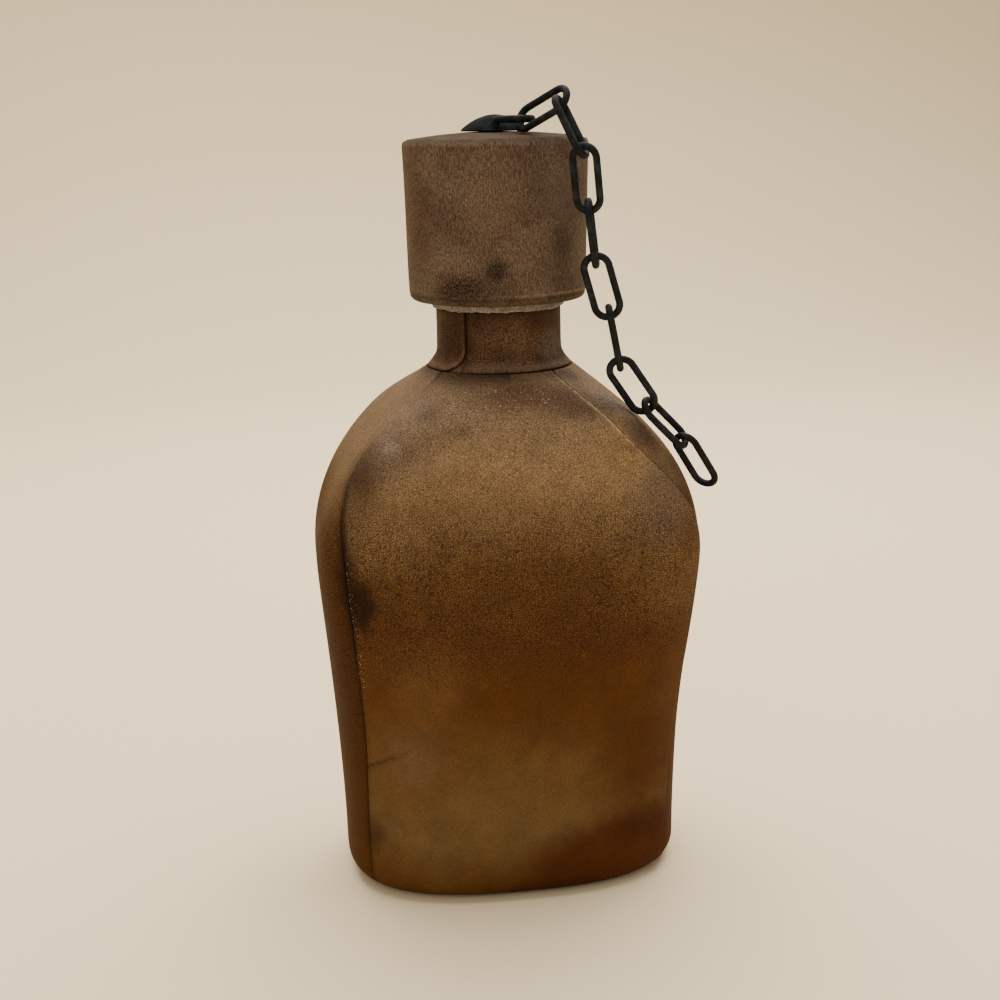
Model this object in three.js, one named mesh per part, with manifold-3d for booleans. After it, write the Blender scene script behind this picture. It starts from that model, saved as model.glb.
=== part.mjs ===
// Leather-wrapped decanter: an oval glass flask in moulded leather panels, closed by a corked,
// leather-covered cap that carries a short chain of iron links.
// Millimetres, +Z up. The origin is the centre of the base, the front faces -Y, +X is to the right.
import * as THREE from 'three';
import { mergeVertices } from 'three/addons/utils/BufferGeometryUtils.js';
import Module from 'manifold-3d';

const wasm = await Module();
wasm.setup();

// Clearances
const seatGap = 0.3;            // between pieces that are glued or rest on each other
const skinGap = 0.35;           // between the leather and the glass it is moulded on
const seamGap = 0.3;            // between two leather edges that are butted together
const soleGap = 0.5;            // round the sole, inside the folded edges

// Leather-covered body, as half sizes of its outer surface
const baseHalfWidth = 61;
const baseHalfDepth = 42.4;
const bellyHalfWidth = 67.7;
const bellyHalfDepth = 43;
const bellyHeight = 121;
const footRadius = 8.8;
const footLip = 6;              // how far the leather is folded under the base
const soleProud = 0.3;          // how far the sole stands below the folded edges
const flankFootRun = 44;        // upright start of the flank's curve
const flankBellyRun = 11;       // upright end of the flank's curve
const shoulderRadius = 25.7;    // where the leather panels end below the neck
const shoulderRun = 34.6;       // upright start of the shoulder's curve
const shoulderSide = 14.8;      // end of the shoulder's curve: its run sideways,
const shoulderFront = 28.8;     // its run forward
const shoulderRise = 12;        // and its climb to the neck
const footPower = 2.6;          // superellipse power of the section at the foot,
const shoulderPower = 4.4;      // squarer at the shoulder
const neckPower = 2;            // and round at the neck
const squareBelow = 74;         // the section grows squarer from here below the belly
const squareAbove = 11;         // to here above it
const roundFall = 16;           // and turns round over this height below the neck

// Leather
const leather = 2;
const seamTurn = 58;            // degrees from the front or back centre line to a panel seam,
const seamTurnTop = 48;         // less on the shoulder, up to the neck
const waistTwist = 11;          // degrees that the wet leather was pulled round the waist,
const shoulderTwist = -20;      // back the other way on the shoulder
const neckTwist = -11;          // and at the neck
const twistFoot = 20;           // height from which it twists
const twistFall = 14;           // it is pulled back furthest this far below the neck
const seamRidge = 0.7;          // how far a panel edge stands proud along its seam
const seamRidgeWidth = 4;
const seamFade = 14;            // height over which the ridge dies out below the neck

// Neck collar: one strip whose thinned ends lap on the front left
const collarRadius = 21.9;
const collarFootHeight = 186.3;
const collarFootRadius = 25.3;
const collarFlare = 7;          // height of the flared foot
const flareDraw = 2.5;          // how far the flare draws in at its foot
const flareClimb = 3.2;         // while it climbs this much
const flareUpright = 2.8;       // upright end of the flare
const neckRise = 20.2;          // from the collar's foot to the rim of the glass mouth
const lapTurn = 26;             // degrees of lap
const lapSkive = 24;            // degrees over which each end is thinned
const lapOver = 0.7;            // thickness of the upper end
const lapUnder = 1;             // thickness of the lower end
const lapEnd = -130;            // direction of the upper end's edge, degrees from +X
const lapCorner = 9;            // height of the rounded corner of the upper end

// Glass
const glassWall = 4.5;
const glassBase = 5.5;
const mouthRound = 1.2;         // rounding of the mouth's rim

// Cap on its cork
const washer = 2;
const washerRadius = 23.2;
const capTopRadius = 32;
const capTaper = 1.2;           // how much the cap's radius shrinks towards its foot
const capHeight = 54.4;         // from the washer to the rim of the cap's top
const capCrown = 2.6;           // rise of the top inside its rim
const hemRadius = 3;            // rounded lower edge of the wrap
const hemTurnIn = 5;            // how far the wrap is turned under the core
const capEdge = 0.9;            // softened edge of the top disc
const corkTaper = 1.3;          // how much the cork's radius shrinks towards its foot
const corkReach = 28;           // length of cork inside the neck
const corkSocket = 8;           // length of cork let into the wooden core
const corkChamfer = 1.5;
const coreChamfer = 1;

// Stud, staple and chain
const studRadius = 11.5;
const studRise = 5.6;
const studEdge = 0.6;
const wire = 2.6;
const linkLength = 23.6;
const linkWidth = 11;
const linkGap = 0.5;            // slack between one link and the next
const barGap = 0.05;            // least gap between the bars of two links, wherever they lie
const restGap = 0.1;            // between the leather and a link that lies on it
const stapleWidth = 13.4;
const stapleLift = 0.35;        // height of the staple's arms above the stud
const stapleLeg = 24;
const stapleReach = 17;         // from the cap's axis to the middle of the staple's far bar
const stapleBend = 2;
const stapleRoot = 7.5;         // from the cap's axis to the staple's legs
const stapleHeading = -60;      // degrees from +X in which the staple lies

// How each link hangs, in degrees: lean from straight down, heading of the lean from +X, roll about its
// length, and the place of the next link on its lower bow, from the tip
const drape = [
  { lean: 114.6, heading: -44, roll: 57, bow: 66 },
  { lean: 30.5, heading: -46, roll: -16, bow: 0 },
  { lean: 7, heading: 35, roll: -20, bow: 0 },
  { lean: 7, heading: 10, roll: 25, bow: 0 },
  { lean: 16, heading: 6, roll: -69, bow: 0 },
  { lean: 11, heading: 5, roll: 15, bow: 0 },
  { lean: 34, heading: 4, roll: -65, bow: 12 },
  { lean: 44, heading: 5, roll: 34, bow: 0 },
  { lean: 32, heading: 11, roll: -28, bow: 0 },
];

// Facets
const facets = {
  round: 36,
  tube: 8,
  bow: 7,
  bar: 8,
  dome: 4,
  body: [1, 4, 5, 8],           // lip, foot, flank and shoulder
  cavity: [1, 2, 2, 3],
  front: 14,
  side: 8,
  crown: 2,
  collar: 4,
  bend: 3,
  staple: 28,
};

const radians = THREE.MathUtils.degToRad;
const vector = (x, y, z) => new THREE.Vector3(x, y, z);

// Heights that follow from the sizes above
const lipFold = soleProud;
const lipHeight = collarFootHeight + neckRise;
const glassFoot = lipFold + leather + skinGap;
const cavityFloor = glassFoot + glassBase;
const shoulderHeight = collarFootHeight - seatGap;
const washerFoot = lipHeight + seatGap;
const washerTop = washerFoot + washer;
const capFoot = washerTop + seatGap;
const capRim = washerTop + capHeight;
const coreFoot = capFoot + leather + seatGap;
const corkFoot = lipHeight - corkReach;
const corkTop = coreFoot + corkSocket;
const crownAt = (radius) => capRim + capCrown * (1 - (radius / capTopRadius) ** 2);
const studFoot = crownAt(studRadius) + seatGap;
const domeAt = (radius) => studFoot + studEdge + (studRise - studEdge) * (1 - (radius / studRadius) ** 2);
const stapleHeight = domeAt(stapleRoot + stapleBend) + stapleLift + wire / 2;

// Radii of the cap, of the neck and of what fits in it
const capFootRadius = capTopRadius - capTaper;
const glassDepth = leather + skinGap;
const neckOuter = collarRadius - glassDepth;
const neckBore = neckOuter - glassWall;
const corkTopRadius = neckBore - seatGap;
const corkFootRadius = corkTopRadius - corkTaper;
const corkHole = corkTopRadius + seatGap;

// Materials
const finish = (color, roughness, metalness) =>
  new THREE.MeshStandardMaterial({ color, roughness, metalness });
const bodyLeather = finish(0x8a5a24, 0.75, 0);
const neckLeather = finish(0x5f3a1e, 0.75, 0);
const capLeather = finish(0x6b4a2e, 0.8, 0);
const rawLeather = finish(0xc8b096, 0.95, 0);
const clearGlass = finish(0xb9c6bf, 0.1, 0);
const cork = finish(0xb98a58, 0.95, 0);
const turnedWood = finish(0x9a6f43, 0.8, 0);
const blackIron = finish(0x1c1d1e, 0.5, 0.8);

const decanter = new THREE.Group();

function addPiece(name, geometry, material) {
  const mesh = new THREE.Mesh(geometry, material.clone());
  mesh.name = name;
  decanter.add(mesh);
  return mesh;
}

// Solids for cutting
function solidOf(geometry) {
  const bare = geometry.clone();
  bare.deleteAttribute('normal');
  bare.deleteAttribute('uv');
  const merged = mergeVertices(bare, 1e-4);
  const vertProperties = new Float32Array(merged.attributes.position.array);
  const triVerts = new Uint32Array(merged.index.array);
  return new wasm.Manifold(new wasm.Mesh({ numProp: 3, vertProperties, triVerts }));
}

function geometryOf(solid) {
  const mesh = solid.getMesh();
  const geometry = new THREE.BufferGeometry();
  geometry.setAttribute('position', new THREE.BufferAttribute(new Float32Array(mesh.vertProperties), 3));
  geometry.setIndex(new THREE.BufferAttribute(new Uint32Array(mesh.triVerts), 1));
  return geometry;
}

function cut(geometry, tools) {
  const left = tools.reduce((solid, tool) => solid.subtract(solidOf(tool)), solidOf(geometry));
  return geometryOf(left);
}

// Turned pieces: the profile is a list of [radius, height] from bottom to top along the outside
function turned(profile) {
  const points = profile.map(([radius, height]) => new THREE.Vector2(radius, height));
  const geometry = new THREE.LatheGeometry(points, facets.round);
  return geometry.rotateX(Math.PI / 2);
}

function steps(from, to, count) {
  return Array.from({ length: count + 1 }, (_, step) => from + (to - from) * step / count);
}

function arcPoints(centreRadius, centreHeight, radius, from, to) {
  return steps(radians(from), radians(to), facets.bend).map((turn) => [
    centreRadius + radius * Math.cos(turn),
    centreHeight + radius * Math.sin(turn),
  ]);
}

// The outer leather surface is a loft: each point of the rail holds half width, half depth and height
const quarter = 0.5523;         // length of a cubic's handles for a quarter circle
const soleHalfWidth = baseHalfWidth - footRadius;
const soleHalfDepth = baseHalfDepth - footRadius;
const lipEdge = vector(soleHalfWidth - footLip, soleHalfDepth - footLip, lipFold);
const footStart = vector(soleHalfWidth, soleHalfDepth, lipFold);
const footCorner = vector(baseHalfWidth, baseHalfDepth, lipFold);
const flankStart = vector(baseHalfWidth, baseHalfDepth, lipFold + footRadius);
const belly = vector(bellyHalfWidth, bellyHalfDepth, bellyHeight);
const shoulderTop = vector(shoulderRadius, shoulderRadius, shoulderHeight);
const collarFoot = vector(collarFootRadius, collarFootRadius, collarFootHeight);
const flareTop = vector(collarRadius, collarRadius, collarFootHeight + collarFlare);
const neckTop = vector(collarRadius, collarRadius, lipHeight - seatGap);
const shifted = (point, x, y, z) => point.clone().add(vector(x, y, z));

const bodyRail = new THREE.CurvePath();
bodyRail.add(new THREE.LineCurve3(lipEdge, footStart));
bodyRail.add(new THREE.CubicBezierCurve3(
  footStart,
  footStart.clone().lerp(footCorner, quarter),
  flankStart.clone().lerp(footCorner, quarter),
  flankStart,
));
bodyRail.add(new THREE.CubicBezierCurve3(
  flankStart,
  shifted(flankStart, 0, 0, flankFootRun),
  shifted(belly, 0, 0, -flankBellyRun),
  belly,
));
bodyRail.add(new THREE.CubicBezierCurve3(
  belly,
  shifted(belly, 0, 0, shoulderRun),
  shifted(shoulderTop, shoulderSide, shoulderFront, -shoulderRise),
  shoulderTop,
));

const collarRail = new THREE.CurvePath();
collarRail.add(new THREE.CubicBezierCurve3(
  collarFoot,
  shifted(collarFoot, -flareDraw, -flareDraw, flareClimb),
  shifted(flareTop, 0, 0, -flareUpright),
  flareTop,
));
collarRail.add(new THREE.LineCurve3(flareTop, neckTop));

// Places along the body's rail, with a number of steps for each of its curves
function railStops(counts) {
  const ends = bodyRail.getCurveLengths().map((length) => length / bodyRail.getLength());
  const starts = [0, ...ends];
  return [0, ...counts.flatMap((count, curve) => steps(starts[curve], ends[curve], count).slice(1))];
}

function signedPower(value, power) {
  return Math.sign(value) * Math.abs(value) ** power;
}

function sectionPower(height) {
  const { smoothstep, lerp } = THREE.MathUtils;
  const square = smoothstep(height, bellyHeight - squareBelow, bellyHeight + squareAbove);
  const round = smoothstep(height, shoulderHeight - roundFall, shoulderHeight);
  return lerp(lerp(footPower, shoulderPower, square), neckPower, round);
}

function surfacePoint(rail, along, around) {
  const { x, y, z } = rail.getPoint(THREE.MathUtils.clamp(along, 0, 1));
  const power = 2 / sectionPower(z);
  return vector(x * signedPower(Math.cos(around), power), y * signedPower(Math.sin(around), power), z);
}

// The surface's run along the rail and around the section, taken over a short step
const probe = 1e-3;

function runAlong(rail, along, around) {
  const low = Math.max(along - probe, 0);
  const high = Math.min(along + probe, 1);
  return surfacePoint(rail, high, around).sub(surfacePoint(rail, low, around));
}

function runAround(rail, along, around) {
  return surfacePoint(rail, along, around + probe).sub(surfacePoint(rail, along, around - probe));
}

// A point below the outer surface, measured along its normal
function sunkPoint(rail, along, around, depth) {
  const normal = runAround(rail, along, around).cross(runAlong(rail, along, around)).normalize();
  return surfacePoint(rail, along, around).addScaledVector(normal, -depth);
}

// Closed shell from a grid of outer points and the matching grid of inner points
function shell(acrossStops, upStops, outerAt, innerAt) {
  const columns = acrossStops.length - 1;
  const rows = upStops.length - 1;
  const positions = [];
  const index = [];
  const place = (side, column, row) => (side * (columns + 1) + column) * (rows + 1) + row;
  for (const at of [outerAt, innerAt]) {
    for (const across of acrossStops) {
      for (const up of upStops) {
        positions.push(...at(across, up).toArray());
      }
    }
  }
  const quad = (a, b, c, d) => index.push(a, b, c, a, c, d);
  for (let column = 0; column < columns; column += 1) {
    const next = column + 1;
    for (let row = 0; row < rows; row += 1) {
      quad(place(0, column, row), place(0, next, row), place(0, next, row + 1), place(0, column, row + 1));
      quad(place(1, column, row), place(1, column, row + 1), place(1, next, row + 1), place(1, next, row));
    }
    quad(place(0, column, 0), place(1, column, 0), place(1, next, 0), place(0, next, 0));
    quad(place(0, column, rows), place(0, next, rows), place(1, next, rows), place(1, column, rows));
  }
  for (let row = 0; row < rows; row += 1) {
    const next = row + 1;
    quad(place(0, 0, row), place(0, 0, next), place(1, 0, next), place(1, 0, row));
    quad(place(0, columns, row), place(1, columns, row), place(1, columns, next), place(0, columns, next));
  }
  return indexed(positions, index);
}

function indexed(positions, index) {
  const geometry = new THREE.BufferGeometry();
  geometry.setAttribute('position', new THREE.Float32BufferAttribute(positions, 3));
  geometry.setIndex(index);
  return geometry;
}

// Closed loft through rings of points, from a first pole to a last pole
function loft(firstPole, rings, lastPole) {
  const count = rings[0].length;
  const positions = [firstPole, ...rings.flat(), lastPole].flatMap((point) => point.toArray());
  const last = rings.length * count + 1;
  const place = (ring, step) => 1 + ring * count + step % count;
  const index = [];
  for (let step = 0; step < count; step += 1) {
    index.push(0, place(0, step + 1), place(0, step));
    for (let ring = 0; ring < rings.length - 1; ring += 1) {
      index.push(place(ring, step), place(ring, step + 1), place(ring + 1, step + 1));
      index.push(place(ring, step), place(ring + 1, step + 1), place(ring + 1, step));
    }
    index.push(last, place(rings.length - 1, step), place(rings.length - 1, step + 1));
  }
  return indexed(positions, index);
}

// Panels of the body: the direction that each faces and half of its turn, which changes on the shoulder
const faceTurn = (height) => THREE.MathUtils.lerp(
  seamTurn, seamTurnTop, THREE.MathUtils.smoothstep(height, bellyHeight, shoulderHeight),
);
const sideTurn = (height) => 90 - faceTurn(height);
// How far the panels are pulled round at a height, in degrees
function twistAt(height) {
  const furthest = shoulderHeight - twistFall;
  const waist = waistTwist * THREE.MathUtils.smoothstep(height, twistFoot, bellyHeight);
  const back = THREE.MathUtils.smoothstep(height, bellyHeight, furthest);
  const shoulder = THREE.MathUtils.lerp(waist, shoulderTwist, back);
  return THREE.MathUtils.lerp(shoulder, neckTwist, THREE.MathUtils.smoothstep(height, furthest, shoulderHeight));
}
const panels = [
  { name: 'right_gusset', facing: 0, halfTurn: sideTurn, columns: facets.side, ridge: 0 },
  { name: 'back_panel', facing: 90, halfTurn: faceTurn, columns: facets.front, ridge: seamRidge },
  { name: 'left_gusset', facing: 180, halfTurn: sideTurn, columns: facets.side, ridge: 0 },
  { name: 'front_panel', facing: 270, halfTurn: faceTurn, columns: facets.front, ridge: seamRidge },
];
const columnTurns = (height) => panels.flatMap(({ facing, halfTurn, columns }) => {
  const middle = facing + twistAt(height);
  const half = halfTurn(height);
  return steps(middle - half, middle + half, columns).slice(1).map(radians);
});
const ringAt = (rail, along, depth) =>
  columnTurns(rail.getPoint(along).z).map((around) => sunkPoint(rail, along, around, depth));
const circleAt = (radius, height) => columnTurns(height).map((around) =>
  vector(radius * Math.cos(around), radius * Math.sin(around), height));

// Glass flask
function flaskGeometry() {
  const wallDepth = glassDepth + glassWall;
  const throat = steps(0, 1, facets.collar).slice(0, -1);
  const outside = [
    ...railStops(facets.body).map((along) => ringAt(bodyRail, along, glassDepth)),
    ...throat.map((along) => ringAt(collarRail, along, glassDepth)),
    circleAt(neckOuter, lipHeight - mouthRound),
    circleAt(neckOuter - mouthRound, lipHeight),
  ];
  const inside = [
    circleAt(neckBore + mouthRound, lipHeight),
    circleAt(neckBore, lipHeight - mouthRound),
    ...throat.toReversed().map((along) => ringAt(collarRail, along, wallDepth)),
    ...railStops(facets.cavity).reverse().map((along) => ringAt(bodyRail, along, wallDepth)),
  ].map((ring) => ring.map((point) => point.setZ(Math.max(point.z, cavityFloor))));
  return loft(vector(0, 0, glassFoot), [...outside, ...inside], vector(0, 0, cavityFloor));
}
addPiece('glass_flask', flaskGeometry(), clearGlass);

// Leather panels
// The edge of a panel, half a gap beside its seam
function seamAt(along, turn, side) {
  const angle = radians(turn);
  const millimetresPerRadian = runAround(bodyRail, along, angle).length() / (2 * probe);
  return angle + side * (seamGap / 2) / millimetresPerRadian;
}

function panelGeometry({ facing, halfTurn, columns, ridge }) {
  const aroundAt = (across, along) => {
    const { z } = bodyRail.getPoint(along);
    const middle = facing + twistAt(z);
    const half = halfTurn(z);
    return THREE.MathUtils.lerp(seamAt(along, middle - half, 1), seamAt(along, middle + half, -1), across);
  };
  const ridgeAt = (across, along) => {
    const around = aroundAt(across, along);
    const edge = aroundAt(Math.round(across), along);
    const run = surfacePoint(bodyRail, along, around).distanceTo(surfacePoint(bodyRail, along, edge));
    const { z } = bodyRail.getPoint(along);
    const rise = THREE.MathUtils.smoothstep(z, lipFold, flankStart.z);
    const fall = 1 - THREE.MathUtils.smoothstep(z, shoulderHeight - seamFade, shoulderHeight);
    return ridge * rise * fall * Math.exp(-((run / seamRidgeWidth) ** 2));
  };
  return shell(
    steps(0, 1, columns),
    railStops(facets.body),
    (across, along) => sunkPoint(bodyRail, along, aroundAt(across, along), -ridgeAt(across, along)),
    (across, along) => sunkPoint(bodyRail, along, aroundAt(across, along), leather),
  );
}
panels.forEach((panel) => addPiece(panel.name, panelGeometry(panel), bodyLeather));

// Sole let in between the folded edges
function soleGeometry() {
  const power = 2 / footPower;
  const outline = new THREE.Shape(columnTurns(lipFold).map((around) => new THREE.Vector2(
    (lipEdge.x - soleGap) * signedPower(Math.cos(around), power),
    (lipEdge.y - soleGap) * signedPower(Math.sin(around), power),
  )));
  return new THREE.ExtrudeGeometry(outline, { depth: glassFoot - seatGap, bevelEnabled: false });
}
addPiece('base_panel', soleGeometry(), bodyLeather);

// Neck collar: the strip runs once round the neck and laps over its own start
function collarGeometry() {
  const start = lapEnd - lapTurn - 360;
  const turnAt = (across) => THREE.MathUtils.lerp(start, lapEnd, across);
  const fromStart = (across) => turnAt(across) - start;
  const fromEnd = (across) => lapEnd - turnAt(across);
  const ramp = (turn) => THREE.MathUtils.clamp((turn - lapTurn) / lapSkive, 0, 1);
  const outerDepth = (across) => (leather - lapUnder) * (1 - ramp(fromStart(across)));
  const innerDepth = (across) => THREE.MathUtils.lerp(lapOver, leather, ramp(fromEnd(across)));
  const footRise = (across) => {
    const corner = lapCorner / (neckTop.z - collarFootHeight);
    const cornerTurn = THREE.MathUtils.radToDeg(lapCorner / collarFootRadius);
    const into = THREE.MathUtils.clamp(1 - fromEnd(across) / cornerTurn, 0, 1);
    return corner * (1 - Math.sqrt(1 - into * into));
  };
  const alongAt = (across, up) => THREE.MathUtils.lerp(footRise(across), 1, up);
  return shell(
    steps(0, 1, facets.round + facets.side),
    steps(0, 1, facets.collar),
    (across, up) => sunkPoint(collarRail, alongAt(across, up), radians(turnAt(across)), outerDepth(across)),
    (across, up) => sunkPoint(collarRail, alongAt(across, up), radians(turnAt(across)), innerDepth(across)),
  );
}
addPiece('neck_collar', collarGeometry(), neckLeather);

// Cork, its washer and the cap built round them
addPiece('stopper_cork', turned([
  [0, corkFoot],
  [corkFootRadius - corkChamfer, corkFoot],
  [corkFootRadius, corkFoot + corkChamfer],
  [corkTopRadius, lipHeight],
  [corkTopRadius, corkTop],
  [0, corkTop],
]), cork);

addPiece('stopper_washer', turned([
  [corkHole, washerFoot],
  [washerRadius, washerFoot],
  [washerRadius, washerTop],
  [corkHole, washerTop],
  [corkHole, washerFoot],
]), rawLeather);

const hemInner = capFootRadius - hemRadius - hemTurnIn;
addPiece('cap_base_disc', turned([
  [corkHole, capFoot],
  [hemInner - seatGap, capFoot],
  [hemInner - seatGap, capFoot + leather],
  [corkHole, capFoot + leather],
  [corkHole, capFoot],
]), rawLeather);

const wrapTop = capRim - leather - seatGap;
addPiece('cap_wrap', turned([
  [hemInner, capFoot],
  ...arcPoints(capFootRadius - hemRadius, capFoot + hemRadius, hemRadius, -90, 0),
  [capTopRadius, wrapTop],
  [capTopRadius - leather, wrapTop],
  ...arcPoints(capFootRadius - hemRadius, capFoot + hemRadius, hemRadius - leather, 0, -90),
  [hemInner, capFoot + leather],
  [hemInner, capFoot],
]), capLeather);

// Staple: a hairpin of wire through the stud, bent over towards the front right
function stapleCurve(leg) {
  const half = (stapleWidth - wire) / 2;
  const bowStart = stapleReach - half;
  const armStart = stapleRoot + stapleBend;
  const bendFoot = stapleHeight - stapleBend;
  const legFoot = stapleHeight - leg;
  const curve = new THREE.CurvePath();
  const line = (a, b) => curve.add(new THREE.LineCurve3(a, b));
  const bend = (a, corner, b) => curve.add(new THREE.CubicBezierCurve3(
    a, a.clone().lerp(corner, quarter), b.clone().lerp(corner, quarter), b,
  ));
  const at = (reach, side, height = stapleHeight) => vector(reach, side * half, height);
  line(at(stapleRoot, 1, legFoot), at(stapleRoot, 1, bendFoot));
  bend(at(stapleRoot, 1, bendFoot), at(stapleRoot, 1), at(armStart, 1));
  line(at(armStart, 1), at(bowStart, 1));
  bend(at(bowStart, 1), at(stapleReach, 1), at(stapleReach, 0));
  bend(at(stapleReach, 0), at(stapleReach, -1), at(bowStart, -1));
  line(at(bowStart, -1), at(armStart, -1));
  bend(at(armStart, -1), at(stapleRoot, -1), at(stapleRoot, -1, bendFoot));
  line(at(stapleRoot, -1, bendFoot), at(stapleRoot, -1, legFoot));
  return curve;
}

const roundBar = (radius) => new THREE.Shape(Array.from({ length: facets.tube }, (_, step) => {
  const turn = ((step + 0.5) / facets.tube) * 2 * Math.PI;
  return new THREE.Vector2(radius * Math.cos(turn), radius * Math.sin(turn));
}));

function stapleGeometry(radius, leg) {
  const geometry = new THREE.ExtrudeGeometry(roundBar(radius), {
    steps: facets.staple,
    bevelEnabled: false,
    extrudePath: stapleCurve(leg),
  });
  return geometry.rotateZ(radians(stapleHeading));
}
const stapleHole = () => stapleGeometry(wire / 2 + seatGap, stapleLeg + seatGap);

// Points of the crowned top, or of a face that lies below it
const crownPoints = (from, to, below) =>
  steps(from, to, facets.crown).map((radius) => [radius, crownAt(radius) - below]);

const coreFootRadius = capFootRadius - leather - seatGap;
const coreTopRadius = capTopRadius - leather - seatGap;
addPiece('cap_core', cut(turned([
  [0, corkTop + seatGap],
  [corkHole, corkTop + seatGap],
  [corkHole, coreFoot],
  [coreFootRadius - coreChamfer, coreFoot],
  [coreFootRadius, coreFoot + coreChamfer],
  ...crownPoints(coreTopRadius, 0, leather + seatGap),
]), [stapleHole()]), turnedWood);

addPiece('cap_top_disc', cut(turned([
  ...crownPoints(0, capTopRadius, leather),
  ...arcPoints(capTopRadius - capEdge, capRim - capEdge, capEdge, 0, 90),
  ...crownPoints(capTopRadius - 2 * capEdge, 0, 0),
]), [stapleHole()]), capLeather);

const domePoints = steps(studRadius, 0, facets.dome).map((radius) => [radius, domeAt(radius)]);
const studGeometry = cut(turned([...crownPoints(0, studRadius, -seatGap), ...domePoints]), [stapleHole()]);
addPiece('stud_rosette', studGeometry, blackIron);
addPiece('staple', stapleGeometry(wire / 2, stapleLeg), blackIron);

// Chain link: a closed bar bent to an oval, hanging along -Z from the bar at the origin
const bowRadius = (linkWidth - wire) / 2;
const linkHead = wire + linkGap;
const linkPitch = linkLength - wire - linkHead;

function linkPath() {
  const bow = (height, from) => Array.from({ length: facets.bow + 1 }, (_, step) => {
    const turn = from + Math.PI * step / facets.bow;
    return { out: vector(Math.cos(turn), 0, Math.sin(turn)), height };
  });
  const upper = bow(linkHead - bowRadius, 0);
  const lower = bow(bowRadius - linkPitch, Math.PI);
  return [...upper, ...lower].map(({ out, height }) => ({
    out,
    point: out.clone().multiplyScalar(bowRadius).add(vector(0, 0, height)),
  }));
}

function linkGeometry() {
  const path = linkPath();
  const sides = Array.from({ length: facets.tube }, (_, side) => ((side + 0.5) / facets.tube) * 2 * Math.PI);
  const positions = path.flatMap(({ out, point }) => sides.flatMap((turn) => {
    const ring = point.clone().addScaledVector(out, Math.cos(turn) * wire / 2);
    return ring.add(vector(0, Math.sin(turn) * wire / 2, 0)).toArray();
  }));
  const place = (ring, side) => (ring % path.length) * facets.tube + side % facets.tube;
  const index = [];
  path.forEach((_, ring) => {
    for (let side = 0; side < facets.tube; side += 1) {
      index.push(place(ring, side), place(ring, side + 1), place(ring + 1, side + 1));
      index.push(place(ring, side), place(ring + 1, side + 1), place(ring + 1, side));
    }
  });
  return indexed(positions, index);
}

// The way that a link hangs, as axes across its width, through its flat side and up its length
function linkTurn({ lean, heading, roll }) {
  const level = vector(Math.cos(radians(heading)), Math.sin(radians(heading)), 0);
  const down = level.clone().multiplyScalar(Math.sin(radians(lean))).setZ(-Math.cos(radians(lean)));
  const across = vector(-level.y, level.x, 0).applyAxisAngle(down, radians(roll));
  const up = down.clone().negate();
  const through = up.clone().cross(across);
  return new THREE.Matrix4().makeBasis(across, through, up);
}

// Half sizes of the body at a height, found by halving the rail
const halvings = 20;

function bodyHalfSizes(height) {
  let [low, high] = [0, 1];
  for (let halving = 0; halving < halvings; halving += 1) {
    const middle = (low + high) / 2;
    [low, high] = bodyRail.getPoint(middle).z < height ? [middle, high] : [low, middle];
  }
  return bodyRail.getPoint(low);
}

function clearOfBody(point) {
  if (point.z > shoulderHeight) {
    return true;
  }
  const { x, y } = bodyHalfSizes(point.z);
  const power = sectionPower(point.z);
  return (Math.abs(point.x) / (x + restGap)) ** power + (Math.abs(point.y) / (y + restGap)) ** power > 1;
}

function liesOnBody(link) {
  const corners = link.geometry.attributes.position;
  const corner = vector(0, 0, 0);
  return Array.from({ length: corners.count }, (_, place) =>
    clearOfBody(corner.fromBufferAttribute(corners, place).applyMatrix4(link.matrix))).every(Boolean);
}

// Points along the middle of a link's bar
function barPoints(link) {
  const path = linkPath().map(({ point }) => point.applyMatrix4(link.matrix));
  return path.flatMap((point, place) => {
    const next = path[(place + 1) % path.length];
    return Array.from({ length: facets.bar }, (_, step) => point.clone().lerp(next, step / facets.bar));
  });
}

function clearOfBar(link, bar) {
  return barPoints(link).every((point) => bar.every((held) => point.distanceTo(held) > wire + barGap));
}

// A link that would sink into the body leans further out, by a degree at a time, until it lies on it, and
// rolls to whichever side keeps it clear of the bar that it hangs from
const steepestLean = 180;
const widestRoll = 60;
const rollStep = 5;

function hangLink(link, hang, bar) {
  for (let { lean } = hang; lean <= steepestLean; lean += 1) {
    for (let turn = 0; turn <= widestRoll; turn += rollStep) {
      for (const roll of [hang.roll + turn, hang.roll - turn]) {
        link.quaternion.setFromRotationMatrix(linkTurn({ ...hang, lean, roll }));
        link.updateMatrix();
        if (liesOnBody(link) && clearOfBar(link, bar)) {
          return;
        }
      }
    }
  }
}

// Each link hangs from the bow of the one before it, the first from the staple's far bar
const upward = vector(0, 0, 1);
const hangPoint = vector(stapleReach, 0, stapleHeight).applyAxisAngle(upward, radians(stapleHeading));
let barBefore = [];
drape.forEach((hang, place) => {
  const link = addPiece(`chain_link_${place + 1}`, linkGeometry(), blackIron);
  link.position.copy(hangPoint);
  hangLink(link, hang, barBefore);
  barBefore = barPoints(link);
  const bow = radians(hang.bow);
  const next = vector(-bowRadius * Math.sin(bow), 0, bowRadius * (1 - Math.cos(bow)) - linkPitch);
  hangPoint.add(next.applyQuaternion(link.quaternion));
});

export default decanter;
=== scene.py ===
"""Looks of a leather-wrapped decanter: moulded leather body, corked cap and iron chain.

Sizes are in millimetres and repeat those of the part's solids. Meshes are made in metres, in the
part's own frame: +Z up, the front faces -Y, and the origin is the centre of the base.
"""

import logging
import math
from dataclasses import dataclass
from enum import Enum
from typing import Callable, Optional, Sequence, Union

import bmesh
import bpy
import numpy as np
from mathutils import Matrix, Vector


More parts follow.
